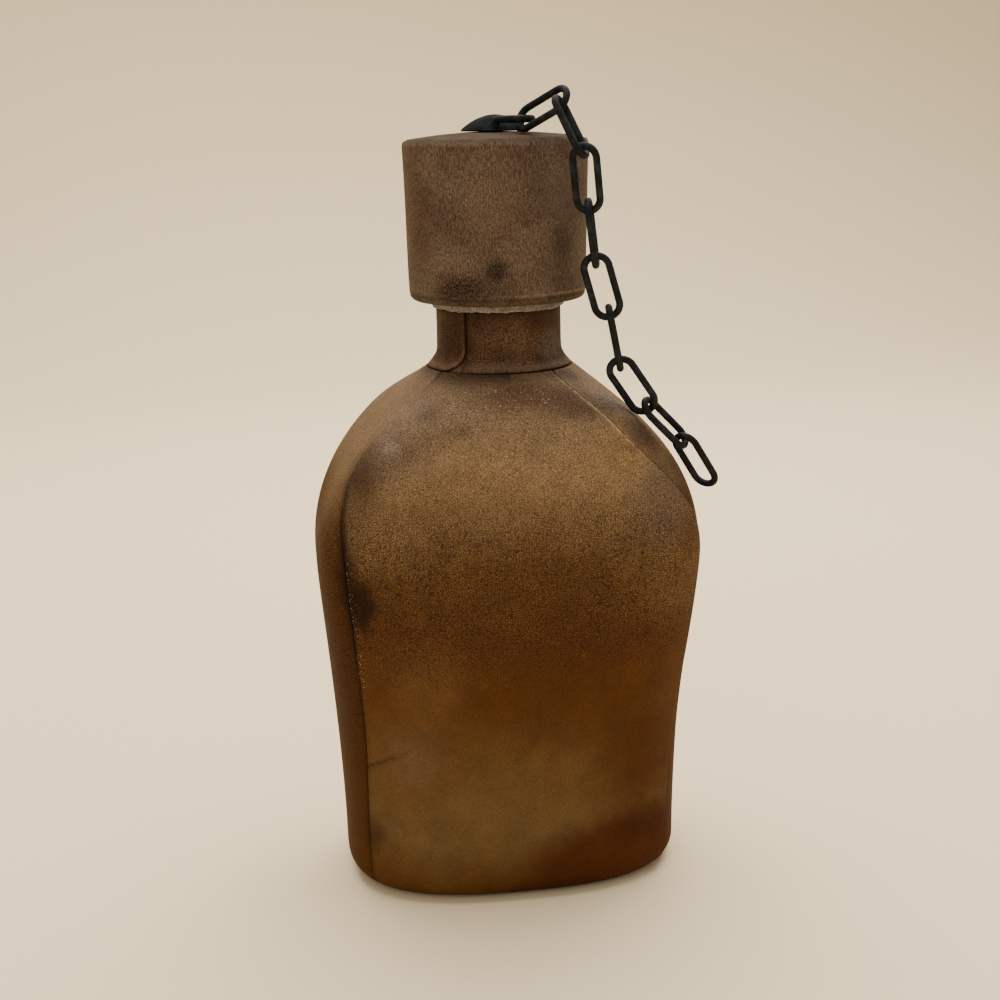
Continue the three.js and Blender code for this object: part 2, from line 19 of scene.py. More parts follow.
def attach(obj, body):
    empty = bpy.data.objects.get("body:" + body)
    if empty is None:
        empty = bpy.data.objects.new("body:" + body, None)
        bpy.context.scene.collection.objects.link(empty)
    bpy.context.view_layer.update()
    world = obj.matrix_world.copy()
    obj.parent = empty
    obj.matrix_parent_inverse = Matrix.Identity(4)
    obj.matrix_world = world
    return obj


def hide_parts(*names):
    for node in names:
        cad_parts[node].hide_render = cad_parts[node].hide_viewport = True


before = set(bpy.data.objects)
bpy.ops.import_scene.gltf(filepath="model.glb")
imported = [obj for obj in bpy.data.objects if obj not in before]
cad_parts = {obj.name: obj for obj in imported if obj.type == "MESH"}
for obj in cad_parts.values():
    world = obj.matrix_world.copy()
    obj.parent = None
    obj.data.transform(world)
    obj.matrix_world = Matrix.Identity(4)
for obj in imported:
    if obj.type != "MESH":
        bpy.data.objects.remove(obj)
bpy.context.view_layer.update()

LOG = logging.getLogger("decanter")
MM = 0.001
STEP = 1e-3
QUARTER_ARC = 0.5523

Colour = tuple[float, float, float, float]
Point = tuple[float, float, float]
Band = tuple[float, float]
Values = dict[str, np.ndarray]
Feed = Union["Signal", float, Sequence[float]]


def shade(red: int, green: int, blue: int) -> Colour:
    """Turns a display colour into the linear colour that shaders take.

    Args:
        red: Level of red from 0 to 255.
        green: Level of green from 0 to 255.
        blue: Level of blue from 0 to 255.

    Returns:
        The linear colour, fully opaque.
    """
    levels = [level / 255 for level in (red, green, blue)]
    linear = [x / 12.92 if x <= 0.04045 else ((x + 0.055) / 1.055) ** 2.4 for x in levels]
    return (linear[0], linear[1], linear[2], 1.0)


def smooth(value: np.ndarray, low: float, high: float) -> np.ndarray:
    """Steps smoothly from 0 at low to 1 at high."""
    share = np.clip((value - low) / (high - low), 0.0, 1.0)
    return share * share * (3 - 2 * share)


def bell(distance: np.ndarray, width: float) -> np.ndarray:
    """Falls smoothly from 1 at no distance to about a third at the width."""
    return np.exp(-((distance / width) ** 2))


def reach_of(points: np.ndarray) -> np.ndarray:
    """Gives the distance of points from the Z axis, never quite 0."""
    return np.maximum(np.hypot(points[..., 0], points[..., 1]), 1e-6)


def drawn_in(points: np.ndarray, depth: np.ndarray) -> np.ndarray:
    """Moves points towards the Z axis.

    Args:
        points: Points in millimetres, in the last axis.
        depth: How far each one moves.

    Returns:
        The moved points.
    """
    moved = points.copy()
    moved[..., :2] *= (1 - depth / reach_of(points))[..., None]
    return moved


@dataclass(frozen=True)
class Waves:
    """Gentle unevenness, as handmade surfaces have.

    Attributes:
        length: Length of the longest waves in millimetres.
        seed: Number that fixes the waves' directions.
    """

    length: float
    seed: int

    def at(self, points: np.ndarray) -> np.ndarray:
        """Gives the unevenness at points in space.

        Args:
            points: Points in millimetres, in the last axis.

        Returns:
            Values from about -1 to 1, one for each point.
        """
        octaves, shrink, spread = 6, 0.8, 2.5
        draw = np.random.default_rng(self.seed)
        total = np.zeros(points.shape[:-1])
        for octave in range(octaves):
            share = shrink**octave
            heading = draw.normal(size=3)
            heading *= 2 * math.pi / (self.length * share * np.linalg.norm(heading))
            total += np.sin(points @ heading + draw.uniform(0, 2 * math.pi)) * share
        return total / spread


@dataclass(frozen=True)
class Stretch:
    """A stretch of heights in millimetres that begins softly up to full and ends softly from ease."""

    start: float
    full: float
    ease: float
    end: float

    def share(self, height: np.ndarray) -> np.ndarray:
        """Gives how much each height belongs to the stretch, from 0 to 1."""
        return smooth(height, self.start, self.full) * (1 - smooth(height, self.ease, self.end))


class Signal:
    """A node's output, with arithmetic that adds Math nodes."""

    def __init__(self, recipe: "Recipe", socket: Optional[bpy.types.NodeSocket]) -> None:
        """Keeps the socket, if the node has one, and the recipe that it belongs to."""
        self.recipe = recipe
        self.socket = socket

    def maths(self, operation: str, first: Feed, second: Feed) -> "Signal":
        """Adds one Math node."""
        return self.recipe.node("ShaderNodeMath", {"operation": operation}, {0: first, 1: second})

    def __add__(self, other: Feed) -> "Signal":
        """Adds."""
        return self.maths("ADD", self, other)

    def __radd__(self, other: Feed) -> "Signal":
        """Adds, with the number first."""
        return self.maths("ADD", other, self)

    def __sub__(self, other: Feed) -> "Signal":
        """Subtracts."""
        return self.maths("SUBTRACT", self, other)

    def __rsub__(self, other: Feed) -> "Signal":
        """Subtracts from a number."""
        return self.maths("SUBTRACT", other, self)

    def __mul__(self, other: Feed) -> "Signal":
        """Multiplies."""
        return self.maths("MULTIPLY", self, other)

    def __truediv__(self, other: Feed) -> "Signal":
        """Divides."""
        return self.maths("DIVIDE", self, other)

    def above(self, low: float, high: float) -> "Signal":
        """Steps smoothly from 0 at low to 1 at high, or down where high is the lower."""
        sockets = {0: self, 1: low, 2: high, 3: 0.0, 4: 1.0}
        return self.recipe.node("ShaderNodeMapRange", {"interpolation_type": "SMOOTHSTEP"}, sockets)


@dataclass(frozen=True)
class ColourPatch:
    """A soft patch of colour about a point of the surface.

    Attributes:
        centre: Middle of the patch in millimetres.
        size: Half sizes along X, Y and Z in millimetres.
        colour: Colour of the patch.
        strength: Share of the colour in its middle.
        fade: Share of its size over which it fades out.
        ragged: How far its outline wanders in millimetres.
    """

    centre: Point
    size: Point
    colour: Colour
    strength: float = 0.6
    fade: float = 0.7
    ragged: float = 8.0


class Recipe:
    """The node tree of one finish."""

    def __init__(self, name: str) -> None:
        """Starts an empty material.

        Args:
            name: Name of the material.
        """
        self.material = bpy.data.materials.new(name)
        self.material.use_nodes = True
        self.tree = self.material.node_tree
        self.tree.nodes.clear()
        self.place = self.node("ShaderNodeTexCoord", out=3)

    def node(
        self,
        kind: str,
        settings: Optional[dict[str, object]] = None,
        sockets: Optional[dict[Union[int, str], Feed]] = None,
        out: int = 0,
    ) -> Signal:
        """Adds a node.

        Args:
            kind: Blender's name of the node type.
            settings: Properties to set first; "stops" gives a ramp's places and colours.
            sockets: Values or signals for inputs, by place or name.
            out: Place of the output to return.

        Returns:
            The signal of that output.
        """
        made = self.tree.nodes.new(kind)
        for name, value in (settings or {}).items():
            if name == "stops":
                self.set_stops(made.color_ramp, value)
            else:
                setattr(made, name, value)
        for key, value in (sockets or {}).items():
            self.feed(made.inputs[key], value)
        return Signal(self, made.outputs[out] if made.outputs else None)

    @staticmethod
    def set_stops(ramp: bpy.types.ColorRamp, stops: Sequence[tuple[float, Colour]]) -> None:
        """Sets a colour ramp's stops, from the first to the last.

        Args:
            ramp: The ramp of a new node.
            stops: Places from 0 to 1, with their colours.
        """
        while len(ramp.elements) < len(stops):
            ramp.elements.new(0.5)
        for element, (place, colour) in zip(ramp.elements, stops):
            element.position = place
            element.color = colour

    def feed(self, socket: bpy.types.NodeSocket, value: Feed) -> None:
        """Links a signal to an input, or sets its number or colour.

        Args:
            socket: The input.
            value: The signal, or the value to set.
        """
        if isinstance(value, Signal):
            self.tree.links.new(value.socket, socket)
        else:
            socket.default_value = value

    def vector(self, operation: str, first: Feed, second: Feed, out: int = 0) -> Signal:
        """Adds one Vector Math node."""
        sockets = {0: first, 1: second}
        return self.node("ShaderNodeVectorMath", {"operation": operation}, sockets, out)

    def stretched(self, x: float, y: float, z: float) -> Signal:
        """Gives the place on the piece, with its axes stretched."""
        return self.vector("MULTIPLY", self.place, (x, y, z))

    def noise(
        self,
        size: float,
        detail: float = 2.0,
        rough: float = 0.5,
        at: Optional[Signal] = None,
        out: int = 0,
    ) -> Signal:
        """Adds cloudy noise.

        Args:
            size: Size of its largest features in millimetres.
            detail: Number of finer layers.
            rough: Weight of the finer layers.
            at: Where to read it, in metres; the place on the piece if left out.
            out: 0 for a value, 1 for a colour.

        Returns:
            The noise, from 0 to 1.
        """
        sockets = {"Vector": at or self.place, "Scale": 1 / (size * MM)}
        sockets |= {"Detail": detail, "Roughness": rough}
        return self.node("ShaderNodeTexNoise", None, sockets, out)

    def pebbles(self, size: float, at: Signal) -> Signal:
        """Adds rounded cells that rise from 0 in their joints, as leather grain does."""
        sockets = {"Vector": at, "Scale": 1 / (size * MM), "Randomness": 0.9}
        return self.node("ShaderNodeTexVoronoi", {"feature": "DISTANCE_TO_EDGE"}, sockets)

    def attribute(self, name: str) -> Signal:
        """Reads a value that the mesh carries."""
        return self.node("ShaderNodeAttribute", {"attribute_name": name}, out=2)

    def mix(self, share: Feed, first: Feed, second: Feed, way: str = "MIX") -> Signal:
        """Mixes two colours."""
        settings = {"data_type": "RGBA", "blend_type": way}
        return self.node("ShaderNodeMix", settings, {0: share, 6: first, 7: second}, out=2)

    def speckled(self, colour: Signal, noise: Signal, weight: Feed) -> Signal:
        """Makes a colour darker and lighter by noise that lies about a half."""
        return self.mix(1.0, colour, 1.0 + (noise - 0.5) * weight, "MULTIPLY")

    def coordinate(self, axis: int) -> Signal:
        """Gives the place on the piece along X, Y or Z, in metres."""
        return self.node("ShaderNodeSeparateXYZ", None, {0: self.place}, axis)

    def wander(self, size: float, reach: float) -> Signal:
        """Gives the place on the piece, moved about by noise.

        Args:
            size: Size of the noise in millimetres.
            reach: How far a point moves in millimetres.

        Returns:
            The moved place, in metres.
        """
        swing = self.vector("SUBTRACT", self.noise(size, 3.0, 0.6, out=1), (0.5, 0.5, 0.5))
        far = 2 * reach * MM
        return self.vector("ADD", self.place, self.vector("MULTIPLY", swing, (far, far, far)))

    def patch(self, mark: ColourPatch, place: Signal) -> Signal:
        """Gives a stain's share of the colour at each point.

        Args:
            mark: The stain.
            place: Places on the piece, moved about for a ragged outline.

        Returns:
            The share, from 0 to the stain's strength.
        """
        centre = [length * MM for length in mark.centre]
        size = [1 / (length * MM) for length in mark.size]
        offset = self.vector("MULTIPLY", self.vector("SUBTRACT", place, centre), size)
        reach = self.vector("LENGTH", offset, (0.0, 0.0, 0.0), out=1)
        return reach.above(1.0, 1.0 - mark.fade) * mark.strength

    def patched(self, colour: Signal, patches: Sequence[ColourPatch], soaked: Feed = 1.0) -> Signal:
        """Lays stains over a colour, each with its own ragged outline.

        Args:
            colour: The clean colour.
            patches: Patches, from the lowest to the uppermost.
            soaked: How much of a stain the grain takes up at each point.

        Returns:
            The stained colour.
        """
        wave = 2.2
        places: dict[float, Signal] = {}
        for mark in patches:
            if mark.ragged not in places:
                places[mark.ragged] = self.wander(wave * mark.ragged, mark.ragged)
            share = self.patch(mark, places[mark.ragged]) * soaked
            colour = self.mix(share, colour, mark.colour)
        return colour

    def bump(
        self, height: Signal, depth: float, strength: float, under: Optional[Signal] = None
    ) -> Signal:
        """Adds relief.

        Args:
            height: Relief from 0 to 1.
            depth: Its depth in millimetres.
            strength: How much of it shows.
            under: Normal of coarser relief below it.

        Returns:
            The normal.
        """
        sockets = {"Strength": strength, "Distance": depth * MM, "Height": height}
        if under is not None:
            sockets["Normal"] = under
        return self.node("ShaderNodeBump", None, sockets)

    def finish(self, **sockets: Feed) -> bpy.types.Material:
        """Ends the tree in a Principled shader.

        Args:
            **sockets: Its inputs, with _ for a space in the name.

        Returns:
            The material.
        """
        named = {name.replace("_", " "): value for name, value in sockets.items()}
        shader = self.node("ShaderNodeBsdfPrincipled", None, named)
        self.node("ShaderNodeOutputMaterial", None, {0: shader})
        return self.material


@dataclass(frozen=True)
class BodyLeather:
    """Tan leather of the body, moulded wet, then darkened by handling.

    Attributes:
        name: Name of the material.
        tones: Colours from the foot to the neck, with the share of the height of each.
        grime_and_shade: Dark colour where seams and grain are dirty; it also paints the shadow under the
            collar and the shade in the front's crease.
        worn: Pale fibre of a rubbed edge.
        patches: Patches of colour.
        height: Height at which the tones end, in millimetres.
        grain: Size of the pebbled grain in millimetres.
        smooth_to: Height up to which the grain is rubbed smooth.
        rough_from: Height from which it is fresh.
        rough_to: Height up to which it is fresh.
        fine_from: Height from which it is fine again.
    """

    name: str
    tones: tuple[tuple[float, Colour], ...]
    grime_and_shade: Colour
    worn: Colour
    patches: tuple[ColourPatch, ...]
    height: float = 186.0
    grain: float = 0.85
    smooth_to: float = 72.0
    rough_from: float = 106.0
    rough_to: float = 122.0
    fine_from: float = 156.0

    def material(self) -> bpy.types.Material:
        """Builds the material, which reads the values seam, worn, crease and specks of its mesh.

        Returns:
            The material.
        """
        recipe = Recipe(self.name)
        cloud = recipe.noise(46, 4, 0.55)
        mottle = recipe.noise(9, 4, 0.6)
        sand = recipe.noise(0.45, 2, 0.8)
        cells = recipe.pebbles(self.grain, recipe.wander(2.2, 0.3))
        height = recipe.coordinate(2)
        rise = height.above(self.smooth_to * MM, self.rough_from * MM)
        fall = height.above(self.rough_to * MM, self.fine_from * MM)
        fresh = 0.5 + rise * 1.2 - fall * 0.5
        level = height / (self.height * MM) + (cloud - 0.5) * 0.2
        colour = recipe.node("ShaderNodeValToRGB", {"stops": self.tones}, {0: level})
        colour = recipe.patched(colour, self.patches)
        colour = recipe.speckled(colour, mottle, 0.7)
        colour = recipe.speckled(colour, sand, fresh * 2.2)
        colour = recipe.mix(cells.above(0.2, 0.0) * fresh * 0.45, colour, self.grime_and_shade)
        rub = recipe.attribute("worn") * recipe.noise(2.6, 3, 0.7).above(0.3, 0.62)
        colour = recipe.mix(rub, colour, self.worn)
        # The seam value holds dirty seams plus a painted shadow along the neck under the collar.
        dirt_and_shade = recipe.attribute("seam") * (0.55 + mottle * 0.6)
        colour = recipe.mix(dirt_and_shade, colour, self.grime_and_shade)
        # Painted shade in the front's crease, mixed towards the same dark colour.
        colour = recipe.mix(recipe.attribute("crease") * 0.65, colour, self.grime_and_shade)
        specks = recipe.noise(0.6, 1, 0.5).above(0.66, 0.72) * recipe.attribute("specks")
        colour = recipe.mix(specks, colour, self.worn)
        swell = recipe.bump(mottle, 0.5, 0.25)
        relief = cells.above(0.0, 0.34) * 0.7 + sand * 0.45
        normal = recipe.bump(relief, 0.16, 0.7, swell)
        rough = 0.62 + mottle * 0.16 + cells.above(0.16, 0.0) * 0.1
        return recipe.finish(
            Base_Color=colour,
            Roughness=rough,
            Normal=normal,
            Specular_IOR_Level=0.08,
        )


@dataclass(frozen=True)
class DarkLeather:
    """Darker leather of the collar and of the cap's top.

    Attributes:
        name: Name of the material.
        deep: Colour of its dark parts.
        light: Colour of its light parts.
        worn: Colour of a rubbed edge.
        shadow: Colour of the painted shadow along a lap and a foot, and of a darker band at the top.
        patches: Patches of colour.
        gloss: How much it shines.
        speckle: How much its grain stands out.
    """

    name: str
    deep: Colour
    light: Colour
    worn: Colour
    shadow: Colour
    patches: tuple[ColourPatch, ...] = ()
    gloss: float = 0.12
    speckle: float = 3.4

    def material(self) -> bpy.types.Material:
        """Builds the material, which reads the values seam and worn of its mesh.

        Returns:
            The material.
        """
        recipe = Recipe(self.name)
        cloud = recipe.noise(14, 4, 0.6)
        sand = recipe.noise(0.5, 2, 0.7)
        cells = recipe.pebbles(0.75, recipe.wander(2.0, 0.3))
        colour = recipe.mix(cloud.above(0.34, 0.66), self.deep, self.light)
        colour = recipe.patched(colour, self.patches)
        colour = recipe.speckled(colour, sand, self.speckle)
        colour = recipe.mix(cells.above(0.16, 0.0) * 0.35, colour, self.deep)
        strokes = recipe.noise(0.6, 2, 0.6, recipe.stretched(1.0, 1.0, 0.3)).above(0.2, 0.75)
        rub = recipe.attribute("worn") * strokes
        colour = recipe.mix(rub, colour, self.worn)
        # The seam value paints shadow along the collar's lap and foot and darkens its top band.
        colour = recipe.mix(recipe.attribute("seam") * 0.9, colour, self.shadow)
        relief = cells.above(0.0, 0.34) * 0.6 + sand * 0.5 + rub * 0.4
        normal = recipe.bump(relief, 0.14, 0.5, recipe.bump(cloud, 0.6, 0.25))
        return recipe.finish(
            Base_Color=colour,
            Roughness=0.62 + cloud * 0.14,
            Normal=normal,
            Specular_IOR_Level=self.gloss,
        )


@dataclass(frozen=True)
class FibrousLeather:
    """Leather of the cap's side, whose fibres run up and down.

    Attributes:
        name: Name of the material.
        deep: Colour between the fibres.
        light: Colour of the fibres.
        worn: Colour of the painted highlight along the hem.
        shadow: Colour of the painted shade in the hem's groove and below it.
        patches: Patches of colour.
        radius: Radius of the side in millimetres.
    """

    name: str
    deep: Colour
    light: Colour
    worn: Colour
    shadow: Colour
    patches: tuple[ColourPatch, ...]
    radius: float = 32.0

    def material(self) -> bpy.types.Material:
        """Builds the material, which reads the values seam and worn of its mesh.

        Returns:
            The material.
        """
        recipe = Recipe(self.name)
        x, y, height = (recipe.coordinate(axis) for axis in range(3))
        around = x.maths("ARCTAN2", x, 0.0 - y) * (self.radius * MM)
        long = recipe.node("ShaderNodeCombineXYZ", None, {0: around, 1: height * 0.22})
        short = recipe.node("ShaderNodeCombineXYZ", None, {0: around, 1: height * 0.5})
        fibres = recipe.noise(0.6, 3, 0.7, long)
        hairs = recipe.noise(0.45, 2, 0.7, short)
        cloud = recipe.noise(16, 4, 0.6)
        share = fibres.above(0.32, 0.66) * 0.6 + cloud.above(0.3, 0.7) * 0.4
        colour = recipe.mix(share, self.deep, self.light)
        soaked = 0.55 + hairs.above(0.62, 0.42) * 0.6
        colour = recipe.patched(colour, self.patches, soaked)
        colour = recipe.speckled(colour, hairs, 3.1)
        colour = recipe.mix(hairs.above(0.4, 0.28) * 0.7, colour, self.deep)
        # On the cap the worn value is a painted highlight along the hem.
        rub = recipe.attribute("worn") * recipe.noise(1.8, 3, 0.7).above(0.32, 0.6)
        colour = recipe.mix(rub, colour, self.worn)
        # Painted shade in the hem's groove and below it.
        colour = recipe.mix(recipe.attribute("seam") * 0.85, colour, self.shadow)
        normal = recipe.bump(fibres * 0.6 + hairs * 0.8, 0.22, 0.8, recipe.bump(cloud, 0.7, 0.3))
        return recipe.finish(
            Base_Color=colour,
            Roughness=0.7 + hairs * 0.16,
            Normal=normal,
            Specular_IOR_Level=0.1,
        )


@dataclass(frozen=True)
class RawLeather:
    """Cut edge and flesh side of undyed leather, with short loose fibres."""

    name: str
    pale: Colour
    deep: Colour

    def material(self) -> bpy.types.Material:
        """Builds the material.

        Returns:
            The material.
        """
        recipe = Recipe(self.name)
        hatch = recipe.noise(0.5, 3, 0.7, recipe.stretched(1.0, 1.0, 0.35))
        layers = recipe.noise(0.9, 2, 0.6, recipe.stretched(0.12, 0.12, 1.0))
        cloud = recipe.noise(5, 3, 0.6)
        share = hatch.above(0.3, 0.68) * 0.6 + cloud * 0.5
        colour = recipe.mix(share, self.deep, self.pale)
        colour = recipe.mix(layers.above(0.5, 0.36) * 0.5, colour, self.deep)
        normal = recipe.bump(hatch * 0.7 + layers * 0.5, 0.3, 0.8)
        return recipe.finish(
            Base_Color=colour,
            Roughness=0.86 + hatch * 0.1,
            Normal=normal,
            Specular_IOR_Level=0.15,
        )


@dataclass(frozen=True)
class BlackIron:
    """Forged wire and plate, blackened in oil, rubbed a little where it bears."""

    name: str
    black: Colour
    rubbed: Colour
    rust: Colour
    shine: float = 0.08

    def material(self) -> bpy.types.Material:
        """Builds the material.

        Returns:
            The material.
        """
        recipe = Recipe(self.name)
        cloud = recipe.noise(4, 3, 0.6)
        scale = recipe.noise(0.7, 3, 0.65)
        colour = recipe.mix(cloud.above(0.42, 0.72) * 0.75, self.black, self.rubbed)
        colour = recipe.mix(scale.above(0.6, 0.74) * 0.45, colour, self.rust)
        normal = recipe.bump(scale, 0.12, 0.45, recipe.bump(cloud, 0.3, 0.4))
        return recipe.finish(
            Base_Color=colour,
            Metallic=cloud * self.shine,
            Roughness=0.5 + scale * 0.26,
            Normal=normal,
            Specular_IOR_Level=self.shine,
        )


@dataclass(frozen=True)
class FlaskGlass:
    """Pressed glass of the flask, faintly green, with a slightly wavy skin."""

    name: str
    tint: Colour
    pale: Colour

    def material(self) -> bpy.types.Material:
        """Builds the material.

        Returns:
            The material.
        """
        recipe = Recipe(self.name)
        wave = recipe.noise(11, 2, 0.5)
        colour = recipe.mix(wave * 0.3, self.tint, self.pale)
        return recipe.finish(
            Base_Color=colour,
            Roughness=0.04 + wave * 0.08,
            Normal=recipe.bump(wave, 0.4, 0.2),
            IOR=1.5,
            Transmission_Weight=0.85,
        )


@dataclass(frozen=True)
class CorkBark:
    """Cork, with the dark pores and growth lines of the bark."""

    name: str
    pale: Colour
    deep: Colour
    pore: Colour

    def material(self) -> bpy.types.Material:
        """Builds the material.

        Returns:
            The material.
        """
        recipe = Recipe(self.name)
        cells = recipe.pebbles(1.3, recipe.wander(3.0, 0.6))
        cloud = recipe.noise(6, 4, 0.65)
        pores = recipe.noise(2.4, 2, 0.6, recipe.stretched(1.0, 0.35, 0.6)).above(0.62, 0.7)
        colour = recipe.mix(cloud.above(0.3, 0.7), self.deep, self.pale)
        colour = recipe.mix(cells.above(0.1, 0.0) * 0.3, colour, self.deep)
        colour = recipe.mix(pores * 0.85, colour, self.pore)
        normal = recipe.bump(cells.above(0.0, 0.3) * 0.4 + (1 - pores) * 0.6, 0.4, 0.6)
        return recipe.finish(
            Base_Color=colour,
            Roughness=0.84 + cloud * 0.12,
            Normal=normal,
            Specular_IOR_Level=0.2,
        )


@dataclass(frozen=True)
class TurnedWood:
    """Plain turned wood, with its rings about the turning axis."""

    name: str
    early: Colour
    late: Colour

    def material(self) -> bpy.types.Material:
        """Builds the material.

        Returns:
            The material.
        """
        recipe = Recipe(self.name)
        settings = {"wave_type": "RINGS", "rings_direction": "X"}
        sockets = {"Vector": recipe.wander(12, 1.2), "Scale": 90.0, "Distortion": 1.2}
        rings = recipe.node("ShaderNodeTexWave", settings, sockets, out=1)
        pores = recipe.noise(0.7, 2, 0.6, recipe.stretched(0.1, 1.0, 1.0))
        colour = recipe.mix(rings.above(0.4, 0.9), self.early, self.late)
        colour = recipe.speckled(colour, pores, 0.5)
        return recipe.finish(
            Base_Color=colour,
            Roughness=0.66 + pores * 0.16,
            Normal=recipe.bump(pores, 0.15, 0.4),
            Specular_IOR_Level=0.25,
        )


class Side(Enum):
    """The direction that a panel of the body faces."""

    FRONT = (0.0, -1.0)
    RIGHT = (1.0, 0.0)
    BACK = (0.0, 1.0)
    LEFT = (-1.0, 0.0)

    @property
    def is_face(self) -> bool:
        """Whether it is one of the two broad faces."""
        return self in (Side.FRONT, Side.BACK)


class Rail:
    """A path of half width, half depth and height, walked by its length."""

    def __init__(self, *curves: Sequence[Point]) -> None:
        """Joins curves end to end.

        Args:
            *curves: Lines of two points and cubic curves of four.
        """
        samples = np.linspace(0, 1, 600)[:, None]
        pieces = [self.curve(np.array(points, float), samples) for points in curves]
        self.points = np.concatenate(pieces)
        steps = np.linalg.norm(np.diff(self.points, axis=0), axis=1)
        self.lengths = np.concatenate([[0.0], np.cumsum(steps)])
        self.ends = [self.lengths[(place + 1) * len(samples) - 1] for place in range(len(curves))]

    @staticmethod
    def curve(points: np.ndarray, share: np.ndarray) -> np.ndarray:
        """Walks along a line or a cubic curve.

        Args:
            points: Its two or four points.
            share: Shares of the way, from 0 to 1.

        Returns:
            A point for each share.
        """
        if len(points) == 2:
            return points[0] + (points[1] - points[0]) * share
        rest = 1 - share
        ends = rest**3 * points[0] + share**3 * points[3]
        return ends + 3 * rest * rest * share * points[1] + 3 * rest * share * share * points[2]

    def at(self, along: np.ndarray) -> np.ndarray:
        """Gives the points at shares of the whole length.

        Args:
            along: Shares, from 0 to 1.

        Returns:
            A point for each share.
        """
        walked = np.clip(along, 0, 1) * self.lengths[-1]
        axes = self.points.T
        return np.stack([np.interp(walked, self.lengths, axis) for axis in axes], -1)

    def stops(self, *counts: int) -> np.ndarray:
        """Gives shares of the whole length.

        Args:
            *counts: Number of steps on each curve.

        Returns:
            The shares, from 0 to 1.
        """
        starts = [0.0, *self.ends[:-1]]
        runs = [np.linspace(a, b, n + 1)[1:] for a, b, n in zip(starts, self.ends, counts)]
        return np.concatenate([[0.0], *runs]) / self.lengths[-1]


def put_mesh(
    name: str,
    points: np.ndarray,
    faces: np.ndarray,
    finish: bpy.types.Material,
    values: Optional[Values] = None,
) -> bpy.types.Object:
    """Makes a piece from points and four-sided faces.

    Args:
        name: Name of the piece.
        points: Points in millimetres.
        faces: Places of the corners of each face, anticlockwise from outside.
        finish: Material of the piece.
        values: Values for the material, one for each point.

    Returns:
        The object, at the origin.
    """
    sharp_from = math.radians(42)
    mesh = bpy.data.meshes.new(name)
    mesh.from_pydata((points * MM).tolist(), [], faces.tolist())
    for value_name, amounts in (values or {}).items():
        layer = mesh.attributes.new(value_name, "FLOAT", "POINT")
        layer.data.foreach_set("value", np.asarray(amounts, np.float32))
    close_poles(mesh)
    mesh.polygons.foreach_set("use_smooth", np.ones(len(mesh.polygons), bool))
    mesh.set_sharp_from_angle(angle=sharp_from)
    mesh.materials.append(finish)
    piece = bpy.data.objects.new(name, mesh)
    bpy.context.scene.collection.objects.link(piece)
    return piece


def close_poles(mesh: bpy.types.Mesh) -> None:
    """Merges points that fall together, such as those at the poles of a turned piece.

    Args:
        mesh: The mesh to change.
    """
    work = bmesh.new()
    work.from_mesh(mesh)
    bmesh.ops.remove_doubles(work, verts=work.verts, dist=1e-7)
    bmesh.ops.dissolve_degenerate(work, edges=work.edges, dist=1e-8)
    work.to_mesh(mesh)
    work.free()


def quads(*corners: np.ndarray) -> np.ndarray:
    """Joins four grids of places into faces, corner by corner."""
    return np.stack(corners, -1).reshape(-1, 4)


def shell_faces(columns: int, rows: int) -> np.ndarray:
    """Gives the faces of a closed shell between two grids of points, the outer one first.

    Args:
        columns: Number of columns of a grid.
        rows: Number of rows of a grid.

    Returns:
        Places of the corners of each face.
    """
    out, back = np.arange(2 * columns * rows).reshape(2, columns, rows)
    return np.concatenate([
        quads(out[:-1, :-1], out[1:, :-1], out[1:, 1:], out[:-1, 1:]),
        quads(back[:-1, :-1], back[:-1, 1:], back[1:, 1:], back[1:, :-1]),
        quads(out[:-1, 0], back[:-1, 0], back[1:, 0], out[1:, 0]),
        quads(out[:-1, -1], out[1:, -1], back[1:, -1], back[:-1, -1]),
        quads(out[0, :-1], out[0, 1:], back[0, 1:], back[0, :-1]),
        quads(out[-1, :-1], back[-1, :-1], back[-1, 1:], out[-1, 1:]),
    ])


def put_shell(
    name: str,
    outer: np.ndarray,
    inner: np.ndarray,
    finish: bpy.types.Material,
    values: Values,
) -> bpy.types.Object:
    """Makes a piece of leather as a closed shell.

    Args:
        name: Name of the piece.
        outer: Points of its outer face, in columns and rows.
        inner: Points of its inner face, in the same order.
        finish: Material of the piece.
        values: Values for the material, one for each point of a face.

    Returns:
        The object, at the origin.
    """
    points = np.concatenate([outer.reshape(-1, 3), inner.reshape(-1, 3)])
    doubled = {label: np.tile(amounts.ravel(), 2) for label, amounts in values.items()}
    return put_mesh(name, points, shell_faces(*outer.shape[:2]), finish, doubled)


def ring_faces(rings: int, points: int, closed: bool) -> np.ndarray:
    """Gives the faces between rings of points.

    Args:
        rings: Number of rings.
        points: Number of points of a ring.
        closed: Whether the last ring joins the first.

    Returns:
        Places of the corners of each face.
    """
    place = np.arange(rings * points).reshape(rings, points)
    following = np.roll(place, -1, axis=0)
    if not closed:
        place, following = place[:-1], following[:-1]
    return quads(place, np.roll(place, -1, axis=1), np.roll(following, -1, axis=1), following)


def arc(centre: Band, radius: float, start: float, end: float, count: int) -> np.ndarray:
    """Gives points of an arc in a profile, from one direction in degrees to another."""
    turn = np.radians(np.linspace(start, end, count + 1))
    return np.stack([centre[0] + radius * np.cos(turn), centre[1] + radius * np.sin(turn)], -1)


def run(start: Band, end: Band, count: int) -> np.ndarray:
    """Gives points of a straight run in a profile."""
    share = np.linspace(0, 1, count + 1)[:, None]
    return np.array(start) + (np.array(end) - np.array(start)) * share


def turned_points(profile: np.ndarray, segments: int) -> np.ndarray:
    """Turns a profile about Z.

    Args:
        profile: Radius and height of each point.
        segments: Number of directions.

    Returns:
        Points by profile point and direction.
    """
    turn = np.linspace(0, 2 * math.pi, segments, endpoint=False)
    radius, height = profile[:, :1], profile[:, 1:]
    return np.stack([radius * np.cos(turn), radius * np.sin(turn), height + 0 * turn], -1)


